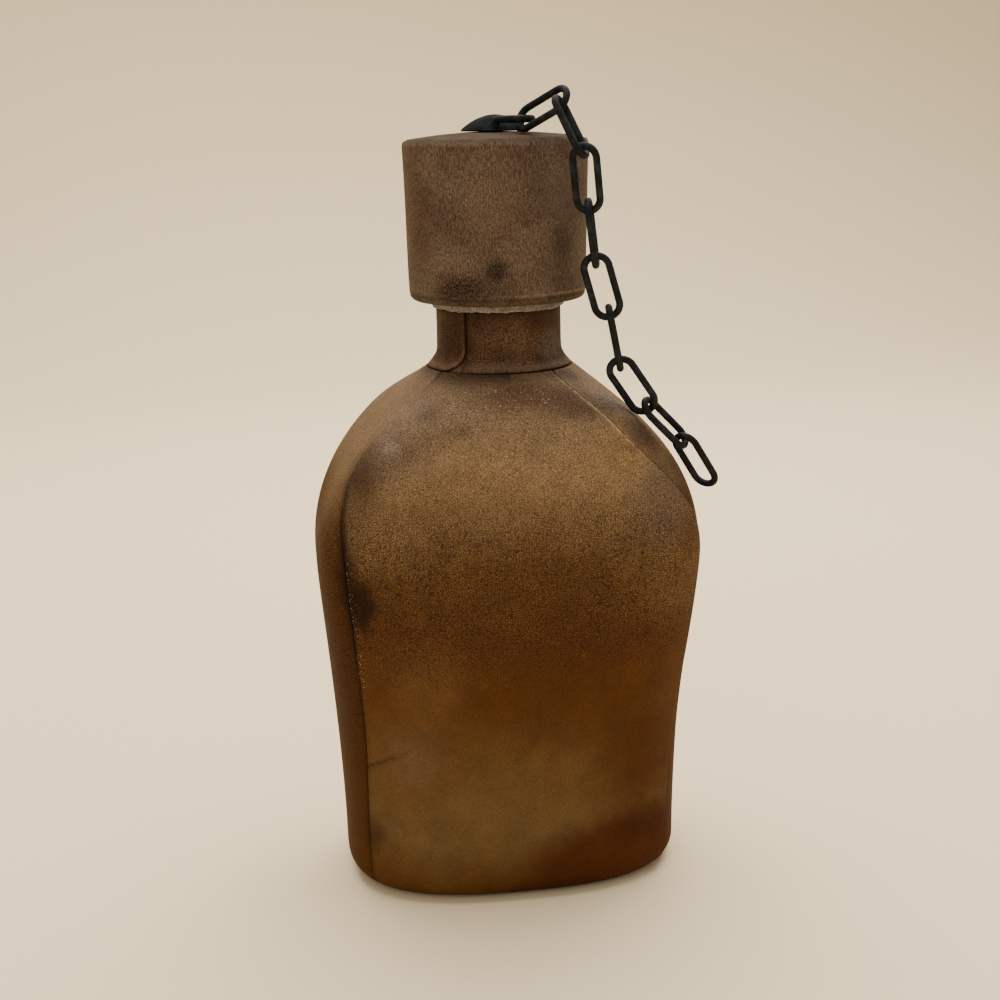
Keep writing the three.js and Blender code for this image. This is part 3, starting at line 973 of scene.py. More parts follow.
class WireTree:
    """A tree of geometry nodes that makes pieces of bent iron wire."""

    def __init__(self, name: str, inputs: dict[str, str]) -> None:
        """Starts a tree.

        Args:
            name: Name of the tree.
            inputs: Kinds of its inputs' sockets, by name.
        """
        self.tree = bpy.data.node_groups.new(name, "GeometryNodeTree")
        for label, kind in inputs.items():
            self.tree.interface.new_socket(label, in_out="INPUT", socket_type=f"NodeSocket{kind}")
        self.tree.interface.new_socket("Wire", in_out="OUTPUT", socket_type="NodeSocketGeometry")
        self.sizes = self.tree.nodes.new("NodeGroupInput").outputs

    def add(
        self,
        kind: str,
        sockets: Optional[dict[Union[int, str], object]] = None,
        **settings: object,
    ) -> Optional[bpy.types.NodeSocket]:
        """Adds a node.

        Args:
            kind: Blender's name of the node type.
            sockets: Values or links for inputs, by place or name.
            **settings: Properties to set first.

        Returns:
            Its first output, if it has one.
        """
        made = self.tree.nodes.new(kind)
        for name, value in settings.items():
            setattr(made, name, value)
        for key, value in (sockets or {}).items():
            if isinstance(value, bpy.types.NodeSocket):
                self.tree.links.new(value, made.inputs[key])
            else:
                made.inputs[key].default_value = value
        return made.outputs[0] if made.outputs else None

    def sweep(self, path: bpy.types.NodeSocket, sides: int) -> bpy.types.NodeSocket:
        """Sweeps a round wire of the input's radius along a path, and closes its ends.

        Args:
            path: Curve of the wire's middle.
            sides: Number of sides of its section.

        Returns:
            The wire's mesh.
        """
        circle = {"Resolution": sides, "Radius": self.sizes["Wire Radius"]}
        section = self.add("GeometryNodeCurvePrimitiveCircle", circle, mode="RADIUS")
        sockets = {"Curve": path, "Profile Curve": section, "Fill Caps": True}
        return self.add("GeometryNodeCurveToMesh", sockets)

    def end(self, wire: bpy.types.NodeSocket) -> None:
        """Ends the tree in a plain smooth mesh of the input's iron.

        Args:
            wire: Mesh of the wire.
        """
        real = self.add("GeometryNodeRealizeInstances", {0: wire})
        even = self.add("GeometryNodeSetShadeSmooth", {"Geometry": real})
        iron = {"Geometry": even, "Material": self.sizes["Iron"]}
        self.add("NodeGroupOutput", {0: self.add("GeometryNodeSetMaterial", iron)})

    def piece(self, mesh: bpy.types.Mesh, values: dict[str, object]) -> bpy.types.Object:
        """Runs the tree and keeps its result as a plain mesh.

        Args:
            mesh: Mesh that the tree starts from, with the name of the piece.
            values: Values of the inputs, by name.

        Returns:
            The piece.
        """
        piece = bpy.data.objects.new(mesh.name, mesh)
        bpy.context.scene.collection.objects.link(piece)
        modifier = piece.modifiers.new("wire", "NODES")
        modifier.node_group = self.tree
        for item in self.tree.interface.items_tree:
            if item.name in values:
                modifier[item.identifier] = values[item.name]
        evaluated = piece.evaluated_get(bpy.context.evaluated_depsgraph_get())
        result = bpy.data.meshes.new_from_object(evaluated)
        piece.modifiers.clear()
        piece.data = result
        return piece


def mount(piece: bpy.types.Object, body: str, node: str) -> bpy.types.Object:
    """Sets a piece on its body in the place of a solid, and reports it.

    Args:
        piece: The finished piece.
        body: Body that it moves with.
        node: Solid that it stands for.

    Returns:
        The piece.
    """
    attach(piece, body)
    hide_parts(node)
    LOG.info("%s: %d faces on %s", piece.name, len(piece.data.polygons), body)
    return piece


@dataclass(frozen=True)
class PanelWearAndShade:
    """How handling has pressed, dirtied and rubbed the body's seams, with a painted shadow under the
    collar. Lengths are in millimetres.
    """

    neck: float = 186.0
    neck_band: float = 4.0
    collar_shadow: float = 0.6
    pressed: Stretch = Stretch(134.0, 148.0, 162.0, 174.0)
    right_press: float = 0.85
    low: Band = (84.0, 104.0)
    left_press: float = 0.5
    low_dirt: float = 0.4
    right_dirt_and_shade: float = 0.1
    dirt_width: float = 1.5
    dirt_fade: Band = (136.0, 164.0)
    dirt_loss: float = 0.8
    handled: Stretch = Stretch(122.0, 140.0, 158.0, 170.0)
    handled_width: float = 4.5
    handled_dirt: float = 0.55
    rub_width: float = 1.1
    rub_from: Band = (154.0, 170.0)
    first_rub: float = 0.3
    last_rub: float = 0.9
    gusset_rub: float = 0.2
    specked: Stretch = Stretch(70.0, 86.0, 118.0, 134.0)
    speck_width: float = 2.2
    flecked: Stretch = Stretch(173.0, 177.0, 181.0, 185.0)
    fleck_middle: float = -6.0
    fleck_half: float = 20.0
    fleck_share: float = 0.7

    @staticmethod
    def by_seam(side: Side, share: np.ndarray, gusset: Side) -> np.ndarray:
        """Finds the half of a panel that ends at the seam of the front and a gusset.

        Args:
            side: Direction that the panel faces.
            share: Places across the panel.
            gusset: Left or right gusset.

        Returns:
            Whether each place is in that half.
        """
        left = gusset is Side.LEFT
        if side is Side.FRONT:
            return share < 0 if left else share >= 0
        return (side is gusset) & (share > 0 if left else share < 0)

    def flush(self, side: Side, share: np.ndarray, height: np.ndarray) -> np.ndarray:
        """Gives how much of a seam's edge stands out.

        Args:
            side: Direction that the panel faces.
            share: Places across the panel.
            height: Height of each place.

        Returns:
            Values from 0 to 1, less where a seam is pressed flat.
        """
        left, right = (self.by_seam(side, share, gusset) for gusset in (Side.LEFT, Side.RIGHT))
        flat_right = self.right_press * right * self.pressed.share(height)
        return 1 - flat_right - self.left_press * left * (1 - smooth(height, *self.low))

    def values(self, side: Side, points: np.ndarray, edge: np.ndarray, share: np.ndarray) -> Values:
        """Gives how dirty the seams are, the painted shadow under the collar, and the wear that the
        leather's finish reads.

        Args:
            side: Direction that the panel faces.
            points: Points of its surface.
            edge: Distance of each from the nearest seam.
            share: Places across the panel.

        Returns:
            Values from 0 to 1 by name.
        """
        height = points[..., 2]
        left, right = (self.by_seam(side, share, gusset) for gusset in (Side.LEFT, Side.RIGHT))
        neck = smooth(height, self.neck - self.neck_band, self.neck)
        kept = 1 - self.dirt_loss * smooth(height, *self.dirt_fade)
        # Dirty seams, plus a painted shadow along the neck where the collar's foot shades the panels.
        seam = bell(edge, self.dirt_width) * kept + self.collar_shadow * neck
        low = self.low_dirt + (1 - self.low_dirt) * smooth(height, *self.low)
        seam = seam * np.where(left, low, 1) * np.where(right, self.right_dirt_and_shade, 1)
        rubbed = np.where(share < 0, self.first_rub, self.last_rub) if side.is_face else self.gusset_rub
        worn = bell(edge, self.rub_width) * smooth(height, *self.rub_from) * (1 - neck) * rubbed
        values = {"worn": worn}
        if side is Side.FRONT:
            held = self.handled.share(height) * left
            seam = seam + self.handled_dirt * bell(edge, self.handled_width) * held
            specks = bell(edge, self.speck_width) * self.specked.share(height) * left
            by_neck = np.abs(points[..., 0] - self.fleck_middle) < self.fleck_half
            flecks = self.flecked.share(height) * by_neck
            values["specks"] = specks + self.fleck_share * flecks
        values["seam"] = np.clip(seam, 0, 1)
        return values


@dataclass
class BodyWrap:
    """Leather panels and sole, moulded round the flask."""

    base_half_width: float = 61.0
    base_half_depth: float = 42.4
    belly_half_width: float = 67.7
    belly_half_depth: float = 43.0
    belly_height: float = 121.0
    foot_radius: float = 8.8
    foot_lip: float = 6.0
    lip_height: float = 0.3
    flank_foot_run: float = 44.0
    flank_belly_run: float = 11.0
    shoulder_radius: float = 25.7
    shoulder_height: float = 186.0
    shoulder_run: float = 34.6
    shoulder_side: float = 14.8
    shoulder_front: float = 28.8
    shoulder_rise: float = 12.0
    foot_power: float = 2.6
    shoulder_power: float = 4.4
    neck_power: float = 2.0
    square_from: float = 47.0
    square_to: float = 132.0
    round_from: float = 170.0
    leather: float = 2.0
    sole_gap: float = 0.5
    sole_top: float = 2.35
    seam_gap: float = 0.3
    seam_turn: float = 58.0
    seam_turn_top: float = 48.0
    waist_twist: float = 11.0
    shoulder_twist: float = -20.0
    neck_twist: float = -11.0
    twist_foot: float = 20.0
    twist_fall: float = 14.0
    ridge: float = 0.7
    ridge_width: float = 4.0
    ridge_fade: float = 14.0
    edge_roll: float = 0.8
    roll_depth: float = 0.8
    sag: float = 0.22
    sag_waves: Waves = Waves(74, 5)
    rows: tuple[int, ...] = (3, 12, 84, 112)
    face_columns: int = 125
    gusset_columns: int = 61
    crowding: float = 1.45
    crease_depth: float = 0.45
    crease_width: float = 0.6
    crease_taper: float = 0.8
    crease_path: tuple[Band, ...] = ((-55.0, 48.6), (-46.3, 54.3), (-43.3, 55.1), (-36.5, 60.3))
    sole_points: int = 128
    sole_insets: Point = (18.0, 9.0, 3.0)
    sole_round: float = 0.6
    sole_bevel: float = 0.3
    wear: PanelWearAndShade = PanelWearAndShade()

    def __post_init__(self) -> None:
        """Lays the rail that the panels follow from the folded lip to the neck."""
        wide, deep = self.base_half_width - self.foot_radius, self.base_half_depth - self.foot_radius
        lip = (wide - self.foot_lip, deep - self.foot_lip, self.lip_height)
        foot = np.array([wide, deep, self.lip_height])
        corner = np.array([self.base_half_width, self.base_half_depth, self.lip_height])
        flank = corner + (0, 0, self.foot_radius)
        belly = np.array([self.belly_half_width, self.belly_half_depth, self.belly_height])
        top = np.array([self.shoulder_radius, self.shoulder_radius, self.shoulder_height])
        bend = (foot + (corner - foot) * QUARTER_ARC, flank + (corner - flank) * QUARTER_ARC)
        pull = top + (self.shoulder_side, self.shoulder_front, -self.shoulder_rise)
        self.rail = Rail(
            (lip, foot),
            (foot, *bend, flank),
            (flank, flank + (0, 0, self.flank_foot_run), belly - (0, 0, self.flank_belly_run), belly),
            (belly, belly + (0, 0, self.shoulder_run), pull, top),
        )

    def power(self, height: np.ndarray) -> np.ndarray:
        """Gives how square the section is.

        Args:
            height: Heights in millimetres.

        Returns:
            The power of the section's curve at each height, 2 for an oval.
        """
        square = smooth(height, self.square_from, self.square_to)
        power = self.foot_power + (self.shoulder_power - self.foot_power) * square
        rounding = smooth(height, self.round_from, self.shoulder_height)
        return power + (self.neck_power - power) * rounding

    def skin(self, side: Side, along: np.ndarray, share: np.ndarray) -> np.ndarray:
        """Gives points of the smooth outer surface of a panel.

        Args:
            side: Direction that the panel faces.
            along: Shares of the rail, from the lip to the neck.
            share: Places across the panel, from -1 to 1 of the section's half size.

        Returns:
            Points in millimetres.
        """
        wide, deep, height = np.moveaxis(self.rail.at(along), -1, 0)
        power = self.power(height)
        across, out = (wide, deep) if side.is_face else (deep, wide)
        x, y = side.value
        forward = out * (1 - np.abs(share) ** power) ** (1 / power)
        beside = across * share
        return np.stack([x * forward - y * beside, y * forward + x * beside, height + 0 * share], -1)

    def normals(self, side: Side, along: np.ndarray, share: np.ndarray) -> np.ndarray:
        """Gives the outward direction at points of a panel.

        Args:
            side: Direction that the panel faces.
            along: Shares of the rail, from the lip to the neck.
            share: Places across the panel.

        Returns:
            Directions of length 1.
        """
        above = self.skin(side, np.minimum(along + STEP, 1), share)
        below = self.skin(side, np.maximum(along - STEP, 0), share)
        beside = self.skin(side, along, share + STEP) - self.skin(side, along, share - STEP)
        normal = np.cross(beside, above - below)
        return normal / np.linalg.norm(normal, axis=-1, keepdims=True)

    def twist(self, height: np.ndarray) -> np.ndarray:
        """Gives how far the panels are pulled round.

        Args:
            height: Heights in millimetres.

        Returns:
            The turn at each height, in degrees.
        """
        furthest = self.shoulder_height - self.twist_fall
        waist = self.waist_twist * smooth(height, self.twist_foot, self.belly_height)
        back = smooth(height, self.belly_height, furthest)
        shoulder = waist + (self.shoulder_twist - waist) * back
        onward = smooth(height, furthest, self.shoulder_height)
        return shoulder + (self.neck_twist - shoulder) * onward

    def edge_share(self, side: Side, along: np.ndarray, way: int) -> np.ndarray:
        """Gives the place of a panel's edge, half a gap beside its seam.

        Args:
            side: Direction that the panel faces.
            along: Shares of the rail, from the lip to the neck.
            way: -1 for its first edge and 1 for its last, anticlockwise from above.

        Returns:
            Places across the panel, from its middle to that edge.
        """
        height = self.rail.at(along)[..., 2]
        lean = smooth(height, self.belly_height, self.shoulder_height)
        turn = self.seam_turn + (self.seam_turn_top - self.seam_turn) * lean
        half = (turn if side.is_face else 90 - turn) + way * self.twist(height)
        edge = np.sin(np.radians(half)) ** (2 / self.power(height))
        reach = self.skin(side, along, way * edge) - self.skin(side, along, way * (edge - STEP))
        pace = np.linalg.norm(reach, axis=-1) / STEP
        return edge - self.seam_gap / 2 / pace

    def panel(self, name: str, side: Side, finish: bpy.types.Material) -> bpy.types.Object:
        """Builds one panel as a closed shell with rolled edges and a gentle unevenness.

        Args:
            name: Name of the piece.
            side: Direction that it faces.
            finish: Its leather.

        Returns:
            The piece.
        """
        along = self.rail.stops(*self.rows)[None, :]
        middle = np.linspace(-1, 1, self.face_columns if side.is_face else self.gusset_columns)
        across = (np.sign(middle) * (1 - (1 - np.abs(middle)) ** self.crowding))[:, None]
        first, last = (self.edge_share(side, along, way) for way in (-1, 1))
        share = across * np.where(across < 0, first, last)
        points = self.skin(side, along, share)
        nearer = np.where(share < 0, -first, last)
        edge = np.linalg.norm(points - self.skin(side, along, nearer), axis=-1)
        lift = self.lift(side, points, edge, share)
        values = self.wear.values(side, points, edge, share)
        if side is Side.FRONT:
            values["crease"] = self.crease(points)
            lift = lift - self.crease_depth * values["crease"]
        normal = self.normals(side, along, share)
        outer = points + normal * lift[..., None]
        return put_shell(name, outer, points - normal * self.leather, finish, values)

    def lift(self, side: Side, points: np.ndarray, edge: np.ndarray, share: np.ndarray) -> np.ndarray:
        """Gives how far a panel's finished face lies over its smooth one.

        Args:
            side: Direction that the panel faces.
            points: Points of the smooth face.
            edge: Distance of each from the nearest seam.
            share: Places across the panel.

        Returns:
            Heights in millimetres: a bead along the seams, less the rolled edge and the sag.
        """
        height = points[..., 2]
        rise = smooth(height, self.lip_height, self.lip_height + self.foot_radius)
        fall = 1 - smooth(height, self.shoulder_height - self.ridge_fade, self.shoulder_height)
        flush = self.wear.flush(side, share, height)
        bead = bell(edge, self.ridge_width) * rise * fall * self.ridge * flush
        into = np.clip(1 - edge / self.edge_roll, 0, 1)
        roll = self.edge_roll * self.roll_depth * flush * (1 - np.sqrt(1 - into * into))
        sag = self.sag * rise * fall * (1 + self.sag_waves.at(points)) * 0.5
        return (bead if side.is_face else 0) - roll - sag

    def crease(self, points: np.ndarray) -> np.ndarray:
        """Gives how deep each point of the front lies in its crease.

        Args:
            points: Points of the front's smooth face.

        Returns:
            Values from 0 to 1.
        """
        flat = points[..., [0, 2]]
        nearest = np.full(flat.shape[:-1], np.inf)
        taper = np.zeros_like(nearest)
        path = np.array(self.crease_path)
        for place, (start, end) in enumerate(zip(path[:-1], path[1:])):
            step = end - start
            share = np.clip((flat - start) @ step / (step @ step), 0, 1)
            reach = np.linalg.norm(flat - start - share[..., None] * step, axis=-1)
            walked = (place + share) / (len(path) - 1)
            taper = np.where(reach < nearest, 1 - self.crease_taper * walked, taper)
            nearest = np.minimum(reach, nearest)
        return bell(nearest, self.crease_width) * taper

    def sole(self, name: str, finish: bpy.types.Material) -> bpy.types.Object:
        """Builds the sole that is let in between the folded edges.

        Args:
            name: Name of the piece.
            finish: Its leather.

        Returns:
            The piece.
        """
        inset = self.foot_radius + self.foot_lip + self.sole_gap
        wide, deep = self.base_half_width - inset, self.base_half_depth - inset
        turn = np.linspace(0, 2 * math.pi, self.sole_points, endpoint=False)
        bend = 2 / self.foot_power
        axes = [np.sign(axis) * np.abs(axis) ** bend for axis in (np.cos(turn), np.sin(turn))]
        outline = np.stack(axes, -1)
        rings = [(deep, 0.0), *((ring, 0.0) for ring in self.sole_insets)]
        rings += list(arc((self.sole_round, self.sole_round), self.sole_round, 270, 180, 5))
        rings += [(0.0, self.sole_top - self.sole_bevel), (self.sole_bevel, self.sole_top)]
        rings.append((deep, self.sole_top))
        grid = []
        for inward, height in rings:
            half_width = 0.0 if inward == deep else wide - inward
            ring = outline * (half_width, deep - inward)
            grid.append(np.column_stack([ring, np.full(len(turn), height)]))
        faces = ring_faces(len(rings), len(turn), False)
        return put_mesh(name, np.concatenate(grid), faces, finish)

    def dress(self, panels: bpy.types.Material, gussets: bpy.types.Material) -> None:
        """Builds the panels and the sole and sets them on the bottle.

        Args:
            panels: Leather of front, back and sole.
            gussets: Leather of the gussets.
        """
        sides = {
            "front_panel": Side.FRONT,
            "back_panel": Side.BACK,
            "left_gusset": Side.LEFT,
            "right_gusset": Side.RIGHT,
        }
        for node, side in sides.items():
            piece = self.panel(f"leather_{node}", side, panels if side.is_face else gussets)
            mount(piece, "bottle", node)
        mount(self.sole("leather_sole", panels), "bottle", "base_panel")


@dataclass
class NeckCollar:
    """One strip of leather round the neck, lapped at the front left."""

    radius: float = 21.9
    foot_radius: float = 25.3
    foot_height: float = 186.3
    flare: float = 7.0
    flare_draw: float = 2.5
    flare_climb: float = 3.2
    flare_upright: float = 2.8
    top_height: float = 206.2
    leather: float = 2.0
    lap_turn: float = 26.0
    lap_skive: float = 24.0
    lap_over: float = 0.7
    lap_under: float = 1.0
    lap_end: float = -130.0
    lap_corner: float = 9.0
    edge_roll: float = 0.5
    foot_round: float = 0.4
    end_round: float = 0.45
    columns: int = 260
    rows: int = 46
    end_crowding: float = 1.2
    foot_crowding: float = 1.15
    uneven: float = 0.12
    uneven_waves: Waves = Waves(26, 9)
    uneven_from: Band = (0.5, 4.0)
    lap_dark: float = 0.6
    lap_shadow: float = 0.6
    line_width: float = 0.35
    line_dark: Band = (0.15, 0.65)
    facing: Band = (0.1, 0.75)
    top_band: float = 2.5
    top_dark: float = 0.5
    foot_worn: float = 0.45
    worn_from: Band = (0.4, 1.2)
    worn_to: Band = (2.0, 4.5)
    end_worn: float = 0.12
    end_line: float = 0.9
    end_width: float = 0.6

    def __post_init__(self) -> None:
        """Lays the rail that the strip follows from its flared foot up the neck."""
        foot = np.array([self.foot_radius, self.foot_radius, self.foot_height])
        top = np.array([self.radius, self.radius, self.foot_height + self.flare])
        draw = (-self.flare_draw, -self.flare_draw, self.flare_climb)
        neck = (self.radius, self.radius, self.top_height)
        self.rail = Rail((foot, foot + draw, top - (0, 0, self.flare_upright), top), (top, neck))
        self.lap_start = self.lap_end - self.lap_turn - 360

    def sunk(self, along: np.ndarray, turn: np.ndarray, depth: np.ndarray) -> np.ndarray:
        """Gives points that lie below the strip's outer face.

        Args:
            along: Shares of the rail, from the foot to the top.
            turn: Directions round the neck in degrees.
            depth: Depth of each point below the face.

        Returns:
            Points in millimetres.
        """
        at = self.rail.at(along)
        slope = (self.rail.at(along + STEP) - self.rail.at(along - STEP))[..., [0, 2]]
        slope /= np.linalg.norm(slope, axis=-1, keepdims=True)
        radius = at[..., 0] - depth * slope[..., 1]
        height = at[..., 2] + depth * slope[..., 0]
        around = np.radians(turn)
        return np.stack([radius * np.cos(around), radius * np.sin(around), height], -1)

    def from_end(self, turn: np.ndarray) -> np.ndarray:
        """Gives the distance of directions from the strip's outer end."""
        return np.radians(self.lap_end - turn) * self.radius

    def roll(self, turn: np.ndarray, walked: np.ndarray) -> np.ndarray:
        """Gives how far the edges at the foot and at the outer end are rounded off.

        Args:
            turn: Directions round the neck in degrees.
            walked: Distance of each point from the foot.

        Returns:
            Depths in millimetres.
        """
        foot = np.clip(1 - walked / self.edge_roll, 0, 1)
        end = np.clip(1 - self.from_end(turn) / self.edge_roll, 0, 1)
        at_foot = self.foot_round * (1 - np.sqrt(1 - foot**2))
        return at_foot + self.end_round * (1 - np.sqrt(1 - end**2)) * (1 - foot)

    def wear(self, along: np.ndarray, turn: np.ndarray, walked: np.ndarray) -> Values:
        """Gives the painted shadows along the lap and at the foot, a darker band at the top, and the
        wear that the leather's finish reads.

        Args:
            along: Shares of the rail, from the foot to the top.
            turn: Directions round the neck in degrees.
            walked: Distance of each point from the foot.

        Returns:
            Values from 0 to 1 by name.
        """
        end = self.from_end(turn)
        past_end = np.radians(turn - self.lap_start - self.lap_turn) * self.radius
        # Painted shadow that the lap's end casts on the strip below, and a dark line along the end
        # itself.
        lap = np.maximum(bell(past_end, self.lap_shadow), bell(end, self.line_width))
        least, more = self.line_dark
        front = smooth(-np.sin(np.radians(turn)), *self.facing)
        # Painted shade along the collar's foot, stronger towards the front.
        foot_shadow = bell(walked, self.line_width) * (least + more * front)
        height = self.rail.at(along)[..., 2]
        top = smooth(height, self.top_height - self.top_band, self.top_height)
        seam = np.maximum(self.lap_dark * lap, foot_shadow) + self.top_dark * top
        worn = (1 - smooth(walked, *self.worn_to)) * smooth(walked, *self.worn_from) * self.foot_worn
        worn = worn + self.end_worn * bell(end - self.end_line, self.end_width)
        return {"seam": np.clip(seam, 0, 1), "worn": np.clip(worn, 0, 1)}

    def build(self, name: str, finish: bpy.types.Material) -> bpy.types.Object:
        """Builds the strip as a closed shell whose ends are thinned where they lap.

        Args:
            name: Name of the piece.
            finish: Its leather.

        Returns:
            The piece.
        """
        sweep = np.sin(np.linspace(0, 1, self.columns) * math.pi / 2) ** self.end_crowding
        turn = (self.lap_start + (self.lap_end - self.lap_start) * sweep)[:, None]
        under = np.clip((turn - self.lap_start - self.lap_turn) / self.lap_skive, 0, 1)
        over = np.clip((self.lap_end - turn - self.lap_turn) / self.lap_skive, 0, 1)
        corner = math.degrees(self.lap_corner / self.foot_radius)
        into = np.clip(1 - (self.lap_end - turn) / corner, 0, 1)
        rise = self.lap_corner / (self.top_height - self.foot_height) * (1 - np.sqrt(1 - into * into))
        up = np.linspace(0, 1, self.rows)[None, :] ** self.foot_crowding
        along = rise + (1 - rise) * up
        walked = along * self.rail.lengths[-1] - rise * self.rail.lengths[-1]
        thinned = (self.leather - self.lap_under) * (1 - under) + self.roll(turn, walked)
        even = self.sunk(along, turn, thinned)
        uneven = self.uneven * (1 + self.uneven_waves.at(even)) * smooth(walked, *self.uneven_from)
        outer = self.sunk(along, turn, thinned + uneven * over * under)
        inner = self.sunk(along, turn, self.lap_over + (self.leather - self.lap_over) * over)
        return put_shell(name, outer, inner, finish, self.wear(along, turn, walked))

    def dress(self, finish: bpy.types.Material) -> None:
        """Builds the collar and sets it on the bottle."""
        mount(self.build("leather_neck_collar", finish), "bottle", "neck_collar")


@dataclass
class CorkedCap:
    """Cap of leather over a wooden core, on its cork, with a raw washer below."""

    cork_hole: float = 15.05
    cork_foot: float = 178.5
    cork_foot_radius: float = 13.45
    cork_radius: float = 14.75
    cork_top: float = 219.4
    cork_chamfer: float = 1.5
    mouth_height: float = 206.5
    washer_foot: float = 206.8
    washer_top: float = 208.8
    washer_radius: float = 23.2
    foot: float = 209.1
    foot_radius: float = 30.8
    rim: float = 263.2
    rim_radius: float = 32.0
    crown: float = 2.6
    leather: float = 2.0
    seat_gap: float = 0.3
    hem_radius: float = 3.0
    hem_turn_in: float = 5.0
    hem_line: float = 2.3
    disc_edge: float = 1.7
    joint_gap: float = 0.03
    joint_roll: float = 0.06
    segments: int = 180
    shrinkage: float = 0.16
    shrink_waves: Waves = Waves(34, 11)
    hem_waver: float = 0.5
    hem_waves: Waves = Waves(60, 3)
    hem_highlight: float = 1.1
    groove: float = 0.18
    groove_width: float = 0.5
    dent: float = 0.1
    dent_waves: Waves = Waves(24, 21)
    washer_roll: float = 0.5
    fray: float = 0.22
    fray_waves: Waves = Waves(2.6, 31)
    swell: float = 0.25
    swell_waves: Waves = Waves(14, 32)
    fringe: float = 0.28
    fringe_waves: tuple[Waves, Waves] = (Waves(3.4, 33), Waves(16, 34))
    pit: float = 0.3
    pit_level: float = 0.55
    pit_waves: Waves = Waves(5, 41)

    def crown_at(self, radius: np.ndarray) -> np.ndarray:
        """Gives the height of the crowned top at a radius."""
        return self.rim + self.crown * (1 - (radius / self.rim_radius) ** 2)

    def crown_run(self, start: float, end: float, below: float, count: int) -> np.ndarray:
        """Gives points of the crowned top, or of a face that lies that far below it."""
        radius = np.linspace(start, end, count + 1)
        return np.stack([radius, self.crown_at(radius) - below], -1)

    def turn(
        self,
        name: str,
        profile: Sequence[np.ndarray],
        finish: bpy.types.Material,
        shape: Optional[Callable[[np.ndarray], np.ndarray]] = None,
        values: Optional[Callable[[np.ndarray], Values]] = None,
        closed: bool = True,
    ) -> bpy.types.Object:
        """Turns one piece about the cap's axis.

        Args:
            name: Name of the piece.
            profile: Runs of its profile, up along the outside.
            finish: Its material.
            shape: Moves the turned points.
            values: Gives the values that the finish reads.
            closed: Whether the profile is a loop; otherwise it ends on the axis.

        Returns:
            The piece.
        """
        outline = np.concatenate(profile)
        points = turned_points(outline, self.segments)
        amounts = values(points) if values else {}
        if shape:
            points = shape(points)
        faces = ring_faces(len(outline), self.segments, closed)
        flat = {key: amount.ravel() for key, amount in amounts.items()}
        return put_mesh(name, points.reshape(-1, 3), faces, finish, flat)

    def shrink(self, points: np.ndarray) -> np.ndarray:
        """Gives how far the leather of the side has shrunk onto the core at each point."""
        return self.shrinkage * (1 + self.shrink_waves.at(points * (1, 1, 0.6)))

    def hem_at(self, points: np.ndarray) -> np.ndarray:
        """Gives the height of the hem's wavering line in the direction of each point."""
        return self.foot + self.hem_line + self.hem_waver * self.hem_waves.at(points * (1, 1, 0))

    def wrap(self, name: str, finish: bpy.types.Material) -> bpy.types.Object:
        """Builds the leather round the side, turned under at its foot.

        Args:
            name: Name of the piece.
            finish: Its leather.

        Returns:
            The piece.
        """
        inner = self.foot_radius - self.hem_radius - self.hem_turn_in
        top = self.rim - self.leather - self.joint_gap
        centre = (self.foot_radius - self.hem_radius, self.foot + self.hem_radius)
        roll, tuck, inside = self.joint_roll, centre[0] - 0.2, self.foot + self.leather
        profile = [
            run((inner, self.foot), (tuck, self.foot), 6),
            arc(centre, self.hem_radius, -90, 0, 14),
            run((self.foot_radius, centre[1]), (self.rim_radius, top - roll), 90)[1:],
            arc((self.rim_radius - roll, top - roll), roll, 0, 90, 4)[1:],
            run((self.rim_radius - self.leather, top), (self.foot_radius - self.leather, centre[1]), 12),
            arc(centre, self.hem_radius - self.leather, 0, -90, 6)[1:],
            run((tuck, inside), (inner, inside), 4),
        ]
        return self.turn(name, profile, finish, self.shaped_wrap, self.wrap_wear)

    def shaped_wrap(self, points: np.ndarray) -> np.ndarray:
        """Shrinks the wrap's outside and presses the hem's groove into it.

        Args:
            points: The turned points.

        Returns:
            The moved points.
        """
        height = points[..., 2]
        groove = self.groove * bell(height - self.hem_at(points), self.groove_width)
        sunk = (groove + self.shrink(points)) * smooth(height, self.foot + 0.5, self.foot + 2.5)
        outside = reach_of(points) > self.foot_radius - 1.0
        return drawn_in(points, np.where(outside, sunk, 0))

    def wrap_wear(self, points: np.ndarray) -> Values:
        """Gives the painted shade in the hem's groove and below it, and a painted highlight along the
        hem at the front right.

        Args:
            points: The turned points.

        Returns:
            Values from 0 to 1 by name.
        """
        above = points[..., 2] - self.hem_at(points)
        # Painted shade in the hem's groove and on the turned-under hem below it.
        seam = 0.3 * bell(above, 0.45) + 0.35 * (1 - smooth(above, -1.0, 2.0))
        facing = smooth(points[..., 0], -6, 6) * (points[..., 1] < 0)
        # Painted highlight along the hem, on the front right only.
        worn = 0.6 * bell(above - self.hem_highlight, 0.4) * facing
        return {"seam": np.clip(seam, 0, 1), "worn": worn}

    def top_disc(self, name: str, finish: bpy.types.Material) -> bpy.types.Object:
        """Builds the crowned disc on the cap's top.

        Args:
            name: Name of the piece.
            finish: Its leather.

        Returns:
            The piece.
        """
        edge, roll = self.disc_edge, self.joint_roll
        profile = [
            self.crown_run(0, self.rim_radius - roll, self.leather, 20),
            arc((self.rim_radius - roll, self.rim - self.leather + roll), roll, -70, 0, 4),
            arc((self.rim_radius - edge, self.rim - edge), edge, 0, 88, 8),
            self.crown_run(self.rim_radius - edge - 0.3, 0, 0, 44),
        ]
        return self.turn(name, profile, finish, self.shaped_top, self.top_wear, closed=False)

